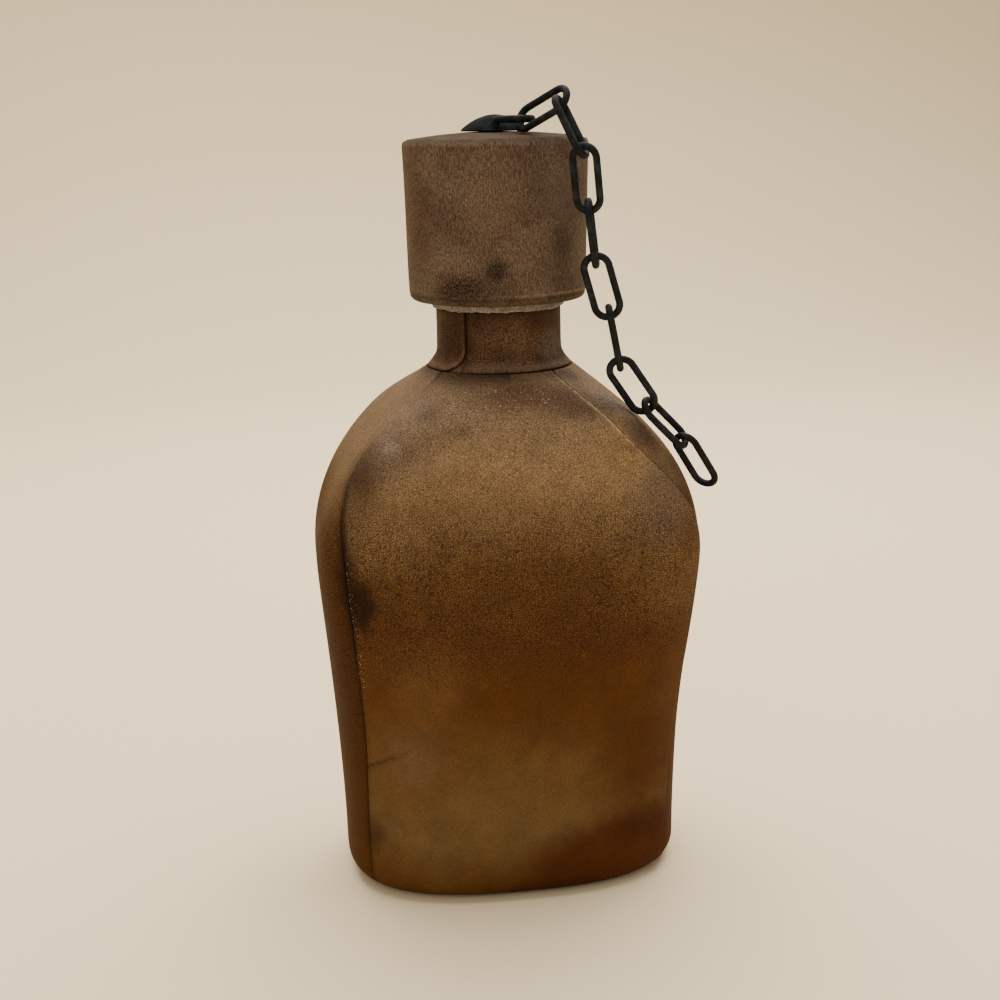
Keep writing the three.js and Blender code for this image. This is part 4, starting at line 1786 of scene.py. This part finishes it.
    def shaped_top(self, points: np.ndarray) -> np.ndarray:
        """Dents the top disc and draws its edge in with the side.

        Args:
            points: The turned points.

        Returns:
            The moved points.
        """
        radius = reach_of(points)
        pull = self.shrink(points) * smooth(radius, self.rim_radius - 4, self.rim_radius)
        dented = 1 - smooth(radius, self.rim_radius - 2, self.rim_radius)
        sunk = self.dent * (1 + self.dent_waves.at(points)) * dented
        moved = drawn_in(points, pull)
        moved[..., 2] -= np.where(points[..., 2] > self.rim - 0.95, sunk, 0)
        return moved

    def top_wear(self, points: np.ndarray) -> Values:
        """Gives the wear of the top disc's edge."""
        return {"worn": 1 - smooth(points[..., 2], self.rim - 1.2, self.rim)}

    def washer(self, name: str, finish: bpy.types.Material) -> bpy.types.Object:
        """Builds the washer between cap and mouth.

        Args:
            name: Name of the piece.
            finish: Its leather.

        Returns:
            The piece.
        """
        roll = self.washer_roll
        foot, top, radius = self.washer_foot, self.washer_top, self.washer_radius
        profile = [
            run((self.cork_hole, foot), (radius - roll, foot), 8),
            arc((radius - roll, foot + roll), roll, -90, 0, 4)[1:],
            run((radius, foot + roll), (radius, top - roll), 5)[1:],
            arc((radius - roll, top - roll), roll, 0, 90, 4)[1:],
            run((radius - roll, top), (self.cork_hole, top), 4)[1:],
        ]
        return self.turn(name, profile, finish, self.frayed)

    def frayed(self, points: np.ndarray) -> np.ndarray:
        """Frays the washer's cut edge, whose lower side hangs loose.

        Args:
            points: The turned points.

        Returns:
            The moved points.
        """
        reach = reach_of(points)
        fray = self.fray * self.fray_waves.at(points) + self.swell * self.swell_waves.at(points)
        grown = np.where(reach > self.washer_radius - 1.2, fray - self.swell, 0)
        moved = drawn_in(points, -grown)
        level = points * (1, 1, 0)
        short, long = (waves.at(level) for waves in self.fringe_waves)
        loose = np.clip(0.4 + short, 0, 1) + np.clip(0.5 + long, 0, 1)
        edge = smooth(reach, self.washer_radius - 0.9, self.washer_radius - 0.4)
        low = points[..., 2] < self.washer_foot + self.washer_roll
        moved[..., 2] -= np.where(low, self.fringe * loose * edge, 0)
        return moved

    def base_disc(self, name: str, finish: bpy.types.Material) -> bpy.types.Object:
        """Builds the disc that closes the core's foot inside the hem.

        Args:
            name: Name of the piece.
            finish: Its leather.

        Returns:
            The piece.
        """
        roll = 0.4
        outer = self.foot_radius - self.hem_radius - self.hem_turn_in - self.seat_gap
        top = self.foot + self.leather
        profile = [
            run((self.cork_hole, self.foot), (outer - roll, self.foot), 8),
            arc((outer - roll, self.foot + roll), roll, -90, 0, 3)[1:],
            run((outer, self.foot + roll), (outer, top), 3)[1:],
            run((outer, top), (self.cork_hole, top), 3)[1:],
        ]
        return self.turn(name, profile, finish)

    def cork(self, name: str, finish: bpy.types.Material) -> bpy.types.Object:
        """Builds the tapered cork.

        Args:
            name: Name of the piece.
            finish: Its bark.

        Returns:
            The piece.
        """
        foot_edge = (self.cork_foot_radius - self.cork_chamfer, self.cork_foot)
        taper_start = (self.cork_foot_radius, self.cork_foot + self.cork_chamfer)
        taper_end = (self.cork_radius, self.mouth_height)
        top_edge = (self.cork_radius, self.cork_top)
        profile = [
            run((0, self.cork_foot), foot_edge, 12),
            run(foot_edge, taper_start, 3)[1:],
            run(taper_start, taper_end, 48)[1:],
            run(taper_end, top_edge, 10)[1:],
            run(top_edge, (0, self.cork_top), 4)[1:],
        ]
        return self.turn(name, profile, finish, self.pitted, closed=False)

    def pitted(self, points: np.ndarray) -> np.ndarray:
        """Sinks the pits of the bark into the cork's side.

        Args:
            points: The turned points.

        Returns:
            The moved points.
        """
        rough = self.pit_waves.at(points * (1, 0.5, 0.5))
        pits = self.pit * np.clip(rough - self.pit_level, 0, 1)
        outside = reach_of(points) > self.cork_foot_radius - self.cork_chamfer - 0.1
        return drawn_in(points, np.where(outside, pits, 0))

    def dress(
        self,
        side: bpy.types.Material,
        top: bpy.types.Material,
        raw: bpy.types.Material,
        cork: bpy.types.Material,
        wood: bpy.types.Material,
    ) -> None:
        """Builds the cap's pieces, sets them on the stopper and finishes its core.

        Args:
            side: Leather of the side.
            top: Leather of the top disc.
            raw: Leather of the washer and the base disc.
            cork: Bark of the cork.
            wood: Wood of the core.
        """
        mount(self.cork("cork_stopper", cork), "stopper", "stopper_cork")
        mount(self.washer("raw_leather_washer", raw), "stopper", "stopper_washer")
        mount(self.base_disc("raw_leather_base_disc", raw), "stopper", "cap_base_disc")
        mount(self.wrap("leather_cap_wrap", side), "stopper", "cap_wrap")
        mount(self.top_disc("leather_cap_top_disc", top), "stopper", "cap_top_disc")
        finish_node("cap_core", wood)


def finish_node(node: str, finish: bpy.types.Material) -> None:
    """Gives a solid that stays its finish.

    Args:
        node: Name of the solid.
        finish: Its material.
    """
    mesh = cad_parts[node].data
    mesh.materials.clear()
    mesh.materials.append(finish)
    LOG.info("%s: solid kept", node)


@dataclass
class StudAndStaple:
    """Domed iron stud on the cap, and the bent wire that holds the chain."""

    cap: CorkedCap
    radius: float = 11.5
    rise: float = 5.6
    edge: float = 0.6
    wire: float = 2.6
    drawn_wire: float = 2.5
    width: float = 13.4
    lift: float = 0.35
    leg: float = 24.0
    reach: float = 17.0
    bend: float = 2.0
    root: float = 7.5
    heading: float = -60.0
    lip: float = 0.25
    dent: float = 0.09
    dent_waves: Waves = Waves(7, 51)

    @property
    def stud_foot(self) -> float:
        """Height of the stud's edge."""
        return float(self.cap.crown_at(self.radius)) + self.cap.seat_gap

    def dome_at(self, radius: np.ndarray) -> np.ndarray:
        """Gives the height of the dome at a radius."""
        share = 1 - (radius / self.radius) ** 2
        return self.stud_foot + self.edge + (self.rise - self.edge) * share

    @property
    def bar_height(self) -> float:
        """Height of the staple's arms."""
        return float(self.dome_at(self.root + self.bend)) + self.lift + self.wire / 2

    @property
    def hang_point(self) -> Vector:
        """Middle of the staple's far bar, where the chain hangs."""
        turn = math.radians(self.heading)
        return Vector((self.reach * math.cos(turn), self.reach * math.sin(turn), self.bar_height))

    def stud(self, name: str, finish: bpy.types.Material) -> bpy.types.Object:
        """Builds the dome of the stud.

        Args:
            name: Name of the piece.
            finish: Its iron.

        Returns:
            The piece.
        """
        lip = self.lip
        dome = np.linspace(self.radius - lip, 0, 34)
        profile = [
            self.cap.crown_run(0, self.radius - lip, -self.cap.seat_gap, 10),
            arc((self.radius - lip, self.stud_foot + lip), lip, -80, 60, 6),
            np.stack([dome, self.dome_at(dome)], -1)[1:],
        ]
        return self.cap.turn(name, profile, finish, self.hammered, closed=False)

    def hammered(self, points: np.ndarray) -> np.ndarray:
        """Dents the dome a little, as a hammer does.

        Args:
            points: The turned points.

        Returns:
            The moved points.
        """
        moved = points.copy()
        top = points[..., 2] > self.stud_foot + 2 * self.lip
        moved[..., 2] -= np.where(top, self.dent * (1 + self.dent_waves.at(points)), 0)
        return moved

    def spot(self, reach: float, side: float, drop: float = 0.0) -> np.ndarray:
        """Gives a point of the staple: its reach, its side in half widths, and its drop."""
        half = (self.width - self.wire) / 2
        return np.array([reach, side * half, self.bar_height - drop])

    @staticmethod
    def bent(start: np.ndarray, tip: np.ndarray, end: np.ndarray) -> tuple[np.ndarray, ...]:
        """Gives the points of a round bend between two ends, about the tip of its corner."""
        return (start, start + (tip - start) * QUARTER_ARC, end + (tip - end) * QUARTER_ARC, end)

    def staple(self, name: str, finish: bpy.types.Material) -> bpy.types.Object:
        """Builds the hairpin of wire that runs through the stud into the core.

        Args:
            name: Name of the piece.
            finish: Its iron.

        Returns:
            The piece.
        """
        bow = self.reach - (self.width - self.wire) / 2
        arm = self.root + self.bend
        at = self.spot
        path = Rail(
            (at(self.root, 1, self.leg), at(self.root, 1, self.bend)),
            self.bent(at(self.root, 1, self.bend), at(self.root, 1), at(arm, 1)),
            (at(arm, 1), at(bow, 1)),
            self.bent(at(bow, 1), at(self.reach, 1), at(self.reach, 0)),
            self.bent(at(self.reach, 0), at(self.reach, -1), at(bow, -1)),
            (at(bow, -1), at(arm, -1)),
            self.bent(at(arm, -1), at(self.root, -1), at(self.root, -1, self.bend)),
            (at(self.root, -1, self.bend), at(self.root, -1, self.leg)),
        ).at(np.linspace(0, 1, 150))
        turn = math.radians(self.heading)
        ahead = np.array([math.cos(turn), math.sin(turn), 0])
        aside = np.array([-math.sin(turn), math.cos(turn), 0])
        points = path[:, :1] * ahead + path[:, 1:2] * aside + path[:, 2:] * (0, 0, 1)
        line = bpy.data.meshes.new(name)
        steps = [(place, place + 1) for place in range(len(points) - 1)]
        line.from_pydata((points * MM).tolist(), steps, [])
        inputs = {"Path": "Geometry", "Wire Radius": "Float", "Iron": "Material"}
        nodes = WireTree("bent_staple", inputs)
        curve = nodes.add("GeometryNodeMeshToCurve", {"Mesh": nodes.sizes["Path"]})
        nodes.end(nodes.sweep(curve, 18))
        return nodes.piece(line, {"Wire Radius": self.drawn_wire / 2 * MM, "Iron": finish})

    def dress(self, plate: bpy.types.Material, wire: bpy.types.Material) -> None:
        """Builds the stud and the staple and sets them on the stopper."""
        mount(self.stud("iron_stud", plate), "stopper", "stud_rosette")
        mount(self.staple("iron_staple", wire), "stopper", "staple")


@dataclass(frozen=True)
class Hang:
    """How one link hangs, in degrees.

    Attributes:
        lean: Lean from straight down.
        heading: Direction of the lean, from +X.
        roll: Turn about its own length.
        bow: Place of the next link on its lower bow, from the tip.
    """

    lean: float
    heading: float
    roll: float
    bow: float = 0.0

    def turn(self) -> Matrix:
        """Gives the link's axes.

        Returns:
            Directions across its width, through its flat side and up its length, in columns.
        """
        heading, lean = math.radians(self.heading), math.radians(self.lean)
        level = Vector((math.cos(heading), math.sin(heading), 0))
        down = level * math.sin(lean) - Vector((0, 0, math.cos(lean)))
        across = Vector((-level.y, level.x, 0))
        across.rotate(Matrix.Rotation(math.radians(self.roll), 3, down))
        through = across.cross(down)
        return Matrix((across, through, -down)).transposed()


@dataclass
class Chain:
    """Iron links bent from wire, each hung from the bow of the one before it."""

    start: Vector
    length: float = 23.6
    width: float = 11.0
    wire: float = 2.6
    drawn_wire: float = 2.5
    gap: float = 0.5
    dent: float = 0.07
    dent_size: float = 3.5
    hangs: tuple[Hang, ...] = (
        Hang(114.6, -44, 57, 66),
        Hang(30.5, -46, -16),
        Hang(7, 35, -20),
        Hang(7, 10, 25),
        Hang(16, 6, -69),
        Hang(11, 5, 15),
        Hang(34, 4, -65, 12),
        Hang(44, 5, 34),
        Hang(32, 11, -28),
    )

    def tree(self) -> WireTree:
        """Builds the nodes of one link: an oval of wire, dented a little, then hung in its place.

        Returns:
            The tree.
        """
        lengths = ("Length", "Width", "Bow Radius", "Wire Radius", "Dent", "Dent Scale", "Seed")
        inputs = dict.fromkeys(lengths, "Float")
        inputs |= dict.fromkeys(("Drop", "Turn", "Hang Point"), "Vector")
        inputs["Iron"] = "Material"
        nodes = WireTree("chain_link", inputs)
        add, sizes = nodes.add, nodes.sizes
        sides = {"Width": sizes["Width"], "Height": sizes["Length"]}
        oblong = add("GeometryNodeCurvePrimitiveQuadrilateral", sides, mode="RECTANGLE")
        bows = {"Curve": oblong, "Count": 24, "Radius": sizes["Bow Radius"], "Limit Radius": True}
        oval = add("GeometryNodeFilletCurve", bows, mode="POLY")
        path = add("GeometryNodeResampleCurve", {"Curve": oval, "Count": 110}, mode="COUNT")
        bar = nodes.sweep(path, 18)
        place = add("GeometryNodeInputPosition")
        waves = {"Vector": place, "W": sizes["Seed"], "Scale": sizes["Dent Scale"], "Detail": 1.0}
        cloud = add("ShaderNodeTexNoise", waves, noise_dimensions="4D")
        sunk = add("ShaderNodeMath", {0: cloud, 1: sizes["Dent"]}, operation="MULTIPLY")
        normal = add("GeometryNodeInputNormal")
        offset = add("ShaderNodeVectorMath", {0: normal, "Scale": sunk}, operation="SCALE")
        dented = add("GeometryNodeSetPosition", {"Geometry": bar, "Offset": offset})
        upright = {"Geometry": dented, "Translation": sizes["Drop"], "Rotation": (math.pi / 2, 0, 0)}
        stood = add("GeometryNodeTransform", upright)
        turn = add("FunctionNodeEulerToRotation", {0: sizes["Turn"]})
        hung = {"Geometry": stood, "Translation": sizes["Hang Point"], "Rotation": turn}
        nodes.end(add("GeometryNodeTransform", hung))
        return nodes

    def link(
        self,
        number: int,
        tree: WireTree,
        turn: Matrix,
        point: Vector,
        finish: bpy.types.Material,
    ) -> bpy.types.Object:
        """Makes one link as a plain mesh in its place.

        Args:
            number: Place of the link, from 1.
            tree: Nodes of a link.
            turn: Its axes.
            point: Where it hangs, in millimetres.
            finish: Its iron.

        Returns:
            The piece.
        """
        head = self.wire + self.gap
        values = {
            "Length": (self.length - self.wire) * MM,
            "Width": (self.width - self.wire) * MM,
            "Bow Radius": (self.width - self.wire) / 2 * MM,
            "Wire Radius": self.drawn_wire / 2 * MM,
            "Drop": (0.0, 0.0, (head - (self.length - self.wire) / 2) * MM),
            "Turn": tuple(turn.to_euler()),
            "Hang Point": tuple(point * MM),
            "Dent": -self.dent * MM,
            "Dent Scale": 1 / (self.dent_size * MM),
            "Seed": float(number),
            "Iron": finish,
        }
        return tree.piece(bpy.data.meshes.new(f"iron_link_{number}"), values)

    def dress(self, finish: bpy.types.Material) -> None:
        """Builds the links, each on its own body.

        Args:
            finish: Their iron.
        """
        tree = self.tree()
        bow_radius = (self.width - self.wire) / 2
        pitch = self.length - 2 * self.wire - self.gap
        point = self.start.copy()
        for number, hang in enumerate(self.hangs, 1):
            turn = hang.turn()
            piece = self.link(number, tree, turn, point, finish)
            mount(piece, f"link_{number}", f"chain_link_{number}")
            bow = math.radians(hang.bow)
            across = -bow_radius * math.sin(bow)
            along = bow_radius * (1 - math.cos(bow)) - pitch
            point = point + turn @ Vector((across, 0, along))


@dataclass(frozen=True)
class Lamp:
    """A soft square lamp that hangs in a place and points at a target, in metres and watts."""

    name: str
    place: Point
    target: Point
    size: float
    power: float
    colour: Point = (1.0, 0.96, 0.9)

    def hang(self) -> None:
        """Adds the lamp to the scene."""
        data = bpy.data.lights.new(self.name, "AREA")
        data.shape = "SQUARE"
        data.size = self.size
        data.energy = self.power
        data.color = self.colour
        lamp = bpy.data.objects.new(self.name, data)
        lamp.location = self.place
        heading = Vector(self.target) - Vector(self.place)
        lamp.rotation_euler = heading.to_track_quat("-Z", "Y").to_euler()
        bpy.context.scene.collection.objects.link(lamp)


@dataclass
class Studio:
    """Plain pale floor that sweeps up behind, and soft light. Lengths are in metres."""

    half_width: float = 3.2
    front: float = -2.6
    back: float = 1.7
    sweep: float = 0.7
    wall: float = 2.6
    cloud: float = 900.0
    darker: Colour = shade(246, 224, 182)
    lighter: Colour = shade(248, 230, 194)
    air: Colour = (1.0, 0.94, 0.85, 1.0)
    air_strength: float = 0.5
    lamps: tuple[Lamp, ...] = (
        Lamp("back_lamp", (0.1, 0.45, 1.2), (0, 0, 0.15), 1.5, 38.0),
        Lamp("front_lamp", (-0.6, -1.4, 1.0), (0, 0, 0.14), 1.2, 6.0),
    )

    def floor(self) -> None:
        """Builds the floor and the wall behind as one sweep."""
        bend = arc((self.back - self.sweep, self.sweep), self.sweep, -90, 0, 16)
        profile = np.concatenate([[[self.front, 0.0]], bend, [[self.back, self.wall]]])
        ends = (-self.half_width, self.half_width)
        sides = [np.column_stack([np.full(len(profile), end), profile]) for end in ends]
        left, right = np.arange(2 * len(profile)).reshape(2, -1)
        faces = quads(left[:-1], right[:-1], right[1:], left[1:])
        recipe = Recipe("pale_floor")
        cloud = recipe.noise(self.cloud)
        colour = recipe.mix(cloud, self.darker, self.lighter)
        finish = recipe.finish(Base_Color=colour, Roughness=0.8 + cloud * 0.1, Specular_IOR_Level=0.2)
        put_mesh("studio_floor", np.concatenate(sides) / MM, faces, finish)

    def light(self) -> None:
        """Lights the floor and the part."""
        world = bpy.data.worlds.new("studio")
        world.use_nodes = True
        air = world.node_tree.nodes["Background"]
        air.inputs["Color"].default_value = self.air
        air.inputs["Strength"].default_value = self.air_strength
        bpy.context.scene.world = world
        for lamp in self.lamps:
            lamp.hang()

    def build(self) -> None:
        """Sets the floor and the light."""
        self.floor()
        self.light()


@dataclass
class PhotoCamera:
    """Camera at the photograph's place, in millimetres and degrees."""

    distance: float = 546.0
    height: float = 270.0
    azimuth: float = 8.2
    pitch: float = 13.76
    roll: float = 1.23
    lens: float = 56.16
    shift: float = -0.0023
    sensor: float = 36.0
    near: float = 10.0

    def build(self) -> None:
        """Places the camera and makes it the scene's own."""
        data = bpy.data.cameras.new("photo_camera")
        data.lens = self.lens
        data.sensor_width = self.sensor
        data.shift_x = self.shift
        data.clip_start = self.near * MM
        camera = bpy.data.objects.new("photo_camera", data)
        turn = math.radians(self.azimuth)
        away = Vector((-math.sin(turn), -math.cos(turn), 0)) * self.distance
        place = (away + Vector((0, 0, self.height))) * MM
        tilt = Matrix.Rotation(math.radians(90 - self.pitch), 4, "X")
        facing = Matrix.Rotation(-turn, 4, "Z") @ tilt
        roll = Matrix.Rotation(-math.radians(self.roll), 4, "Z")
        camera.matrix_world = Matrix.Translation(place) @ facing @ roll
        bpy.context.scene.collection.objects.link(camera)
        bpy.context.scene.camera = camera


# Dark colour of dirty seams and grain on the body, also used for the painted shadow under the collar and
# the painted shade in the crease.
GRIME_AND_SHADE = shade(30, 17, 9)
WORN = shade(196, 164, 122)

BODY_STAINS_AND_SHEEN = (
    ColourPatch((-12, -42, 30), (42, 26, 28), shade(106, 82, 50), 0.5, 0.8, 9),
    ColourPatch((18, -42, 78), (48, 20, 28), shade(80, 46, 17), 0.5, 0.8, 9),
    ColourPatch((46, -36, 50), (32, 30, 38), shade(74, 39, 5), 0.8, 0.8, 6),
    ColourPatch((-34, -41, 80), (20, 20, 26), shade(102, 74, 42), 0.55, 0.8, 6),
    ColourPatch((54, -38, 118), (28, 26, 26), shade(122, 94, 62), 0.6, 0.8, 9),
    ColourPatch((34, -34, 4), (46, 60, 30), shade(72, 33, 4), 0.85, 0.4, 4),
    ColourPatch((44, -34, 22), (20, 30, 11), shade(62, 26, 2), 0.6, 0.7, 4),
    ColourPatch((8, -36, 2), (30, 20, 7), shade(52, 22, 2), 0.6, 0.7, 4),
    ColourPatch((32, -42, 160), (18, 12, 12), shade(152, 118, 70), 0.4, 0.9, 6),
    # This grey patch and the next two, on the upper flanks and shoulders, are partly dust and partly
    # painted sheen where light grazes the leather.
    ColourPatch((-42, -38, 163), (20, 16, 16), shade(106, 88, 74), 0.65, 0.8, 6),
    ColourPatch((50, -40, 143), (20, 14, 24), shade(108, 92, 82), 0.6, 0.8, 6),
    ColourPatch((-43, -40, 166), (5, 8, 4), shade(156, 138, 122), 0.5, 0.8, 3),
    ColourPatch((-29, -36, 174.5), (11, 8, 5), shade(84, 66, 52), 0.5, 0.9, 3),
    ColourPatch((-22, -41, 170), (9, 8, 4), shade(84, 66, 50), 0.5, 0.9, 3),
    # Painted reflection: grey sheen on the right gusset beside the collar.
    ColourPatch((34, -30, 174), (15, 9, 10), shade(128, 118, 108), 0.55, 0.8, 3),
    ColourPatch((61, -33, 127), (8, 14, 9), shade(84, 56, 34), 0.3, 0.8, 4),
    ColourPatch((-58, -35, 121), (6, 10, 17), shade(38, 20, 9), 0.7, 0.8, 3),
    ColourPatch((-51, -35, 154), (11, 14, 21), shade(68, 45, 27), 0.75, 0.9, 3),
    ColourPatch((43, -37, 165), (15, 10, 12), shade(72, 54, 44), 0.75, 0.9, 3),
    ColourPatch((20, -20, 185), (10, 9, 6), shade(72, 60, 52), 0.7, 0.9, 2),
    ColourPatch((20, -37, 176), (17, 11, 9), shade(70, 51, 36), 0.7, 0.9, 4),
    ColourPatch((-54, -37, 112), (7.5, 10, 14), shade(36, 18, 9), 0.9, 0.7, 3),
    ColourPatch((-54, -30, 24), (6, 12, 12), shade(48, 26, 10), 0.6, 0.8, 4),
    ColourPatch((-39, -38, 56), (17, 14, 15), shade(106, 84, 64), 0.45, 0.8, 6),
    ColourPatch((4, -36, 180), (26, 14, 7), shade(90, 62, 44), 0.7, 0.8, 4),
    ColourPatch((30, 42, 60), (30, 20, 34), shade(82, 44, 10), 0.5, 0.8, 9),
    ColourPatch((-24, 42, 16), (40, 24, 22), shade(66, 30, 4), 0.6, 0.8, 6),
    ColourPatch((-44, 40, 145), (18, 14, 16), shade(112, 94, 80), 0.5, 0.8, 6),
)

PANEL_LEATHER = BodyLeather(
    name="panel_leather",
    tones=(
        (0.0, shade(85, 51, 14)),
        (0.14, shade(103, 79, 47)),
        (0.27, shade(98, 70, 38)),
        (0.4, shade(86, 53, 21)),
        (0.54, shade(90, 57, 27)),
        (0.65, shade(98, 68, 38)),
        (0.76, shade(123, 98, 70)),
        (0.87, shade(148, 122, 92)),
        (0.94, shade(134, 110, 84)),
        (1.0, shade(112, 88, 64)),
    ),
    grime_and_shade=GRIME_AND_SHADE,
    worn=WORN,
    patches=BODY_STAINS_AND_SHEEN,
)

GUSSET_LEATHER = BodyLeather(
    name="gusset_leather",
    tones=(
        (0.0, shade(74, 43, 3)),
        (0.3, shade(68, 36, 1)),
        (0.62, shade(74, 40, 4)),
        (0.76, shade(86, 56, 24)),
        (0.86, shade(118, 92, 62)),
        (1.0, shade(134, 110, 84)),
    ),
    grime_and_shade=GRIME_AND_SHADE,
    worn=WORN,
    patches=BODY_STAINS_AND_SHEEN,
    smooth_to=34.0,
    rough_from=86.0,
)

COLLAR_LEATHER = DarkLeather(
    name="collar_leather",
    deep=shade(60, 39, 25),
    light=shade(86, 61, 43),
    worn=shade(134, 110, 88),
    shadow=shade(22, 14, 9),
    speckle=5.2,
    patches=(
        ColourPatch((4, -21, 195), (14, 10, 8), shade(106, 80, 58), 0.5, 0.9, 4),
        ColourPatch((16, -16, 194), (8, 10, 10), shade(100, 88, 77), 0.6, 0.8, 3),
        ColourPatch((-16, -16, 197), (8, 10, 10), shade(54, 28, 14), 0.65, 0.8, 3),
        ColourPatch((-2, -24, 188.5), (24, 12, 3), shade(114, 92, 74), 0.5, 0.8, 2),
        # Painted highlight at the foot of the lap.
        ColourPatch((-18, -18, 188), (4, 6, 2.5), shade(126, 94, 64), 0.5, 0.8, 2),
    ),
)

CAP_TOP_LEATHER = DarkLeather(
    name="cap_top_leather",
    deep=shade(54, 41, 31),
    light=shade(76, 62, 49),
    worn=shade(118, 99, 82),
    shadow=shade(22, 14, 9),
    gloss=0.02,
)

CAP_LEATHER = FibrousLeather(
    name="cap_leather",
    deep=shade(60, 46, 36),
    light=shade(108, 91, 76),
    worn=shade(150, 124, 98),
    shadow=shade(24, 15, 9),
    patches=(
        ColourPatch((-8, -30, 240), (14, 12, 14), shade(98, 78, 58), 0.4, 0.9, 4),
        ColourPatch((17, -26, 246), (14, 10, 14), shade(106, 92, 80), 0.45, 0.9, 4),
        ColourPatch((-29, -12, 238), (9, 16, 26), shade(70, 45, 26), 0.5, 0.8, 4),
        # Painted shade on the lower band of the cap's front left.
        ColourPatch((-17, -26, 215), (26, 14, 8), shade(40, 25, 14), 0.9, 0.9, 3),
        ColourPatch((-5, -31, 221), (5.5, 8, 5.5), shade(32, 21, 14), 0.9, 0.8, 3),
        ColourPatch((19, -25, 229), (6, 8, 8), shade(56, 43, 36), 0.5, 0.9, 4),
        ColourPatch((-2, -31, 231.6), (6, 8, 0.9), shade(84, 50, 36), 0.5, 0.6, 2),
        ColourPatch((12, 28, 232), (12, 10, 12), shade(58, 42, 32), 0.5, 0.8, 3),
    ),
)

RAW_LEATHER = RawLeather("raw_leather", pale=shade(162, 152, 144), deep=shade(72, 63, 58))
BLACK_IRON = BlackIron(
    "black_iron", black=shade(26, 28, 30), rubbed=shade(50, 54, 57), rust=shade(42, 33, 27)
)
BLACK_PLATE = BlackIron(
    "black_plate", black=shade(16, 18, 20), rubbed=shade(30, 34, 37), rust=shade(30, 26, 24), shine=0.01
)
FLASK_GLASS = FlaskGlass("flask_glass", tint=shade(176, 196, 182), pale=shade(214, 224, 216))
CORK_BARK = CorkBark(
    "cork_bark", pale=shade(204, 164, 112), deep=shade(166, 118, 70), pore=shade(78, 48, 28)
)
CORE_WOOD = TurnedWood("core_wood", early=shade(178, 138, 92), late=shade(122, 84, 50))


def main() -> None:
    """Builds the camera, the studio and each sub-assembly in order."""
    logging.basicConfig(level=logging.INFO, format="%(name)s: %(message)s")
    PhotoCamera().build()
    Studio().build()
    iron = BLACK_IRON.material()
    finish_node("glass_flask", FLASK_GLASS.material())
    BodyWrap().dress(PANEL_LEATHER.material(), GUSSET_LEATHER.material())
    NeckCollar().dress(COLLAR_LEATHER.material())
    cap = CorkedCap()
    cap.dress(
        CAP_LEATHER.material(),
        CAP_TOP_LEATHER.material(),
        RAW_LEATHER.material(),
        CORK_BARK.material(),
        CORE_WOOD.material(),
    )
    holder = StudAndStaple(cap)
    holder.dress(BLACK_PLATE.material(), iron)
    Chain(holder.hang_point).dress(iron)


if __name__ == "__main__":
    main()
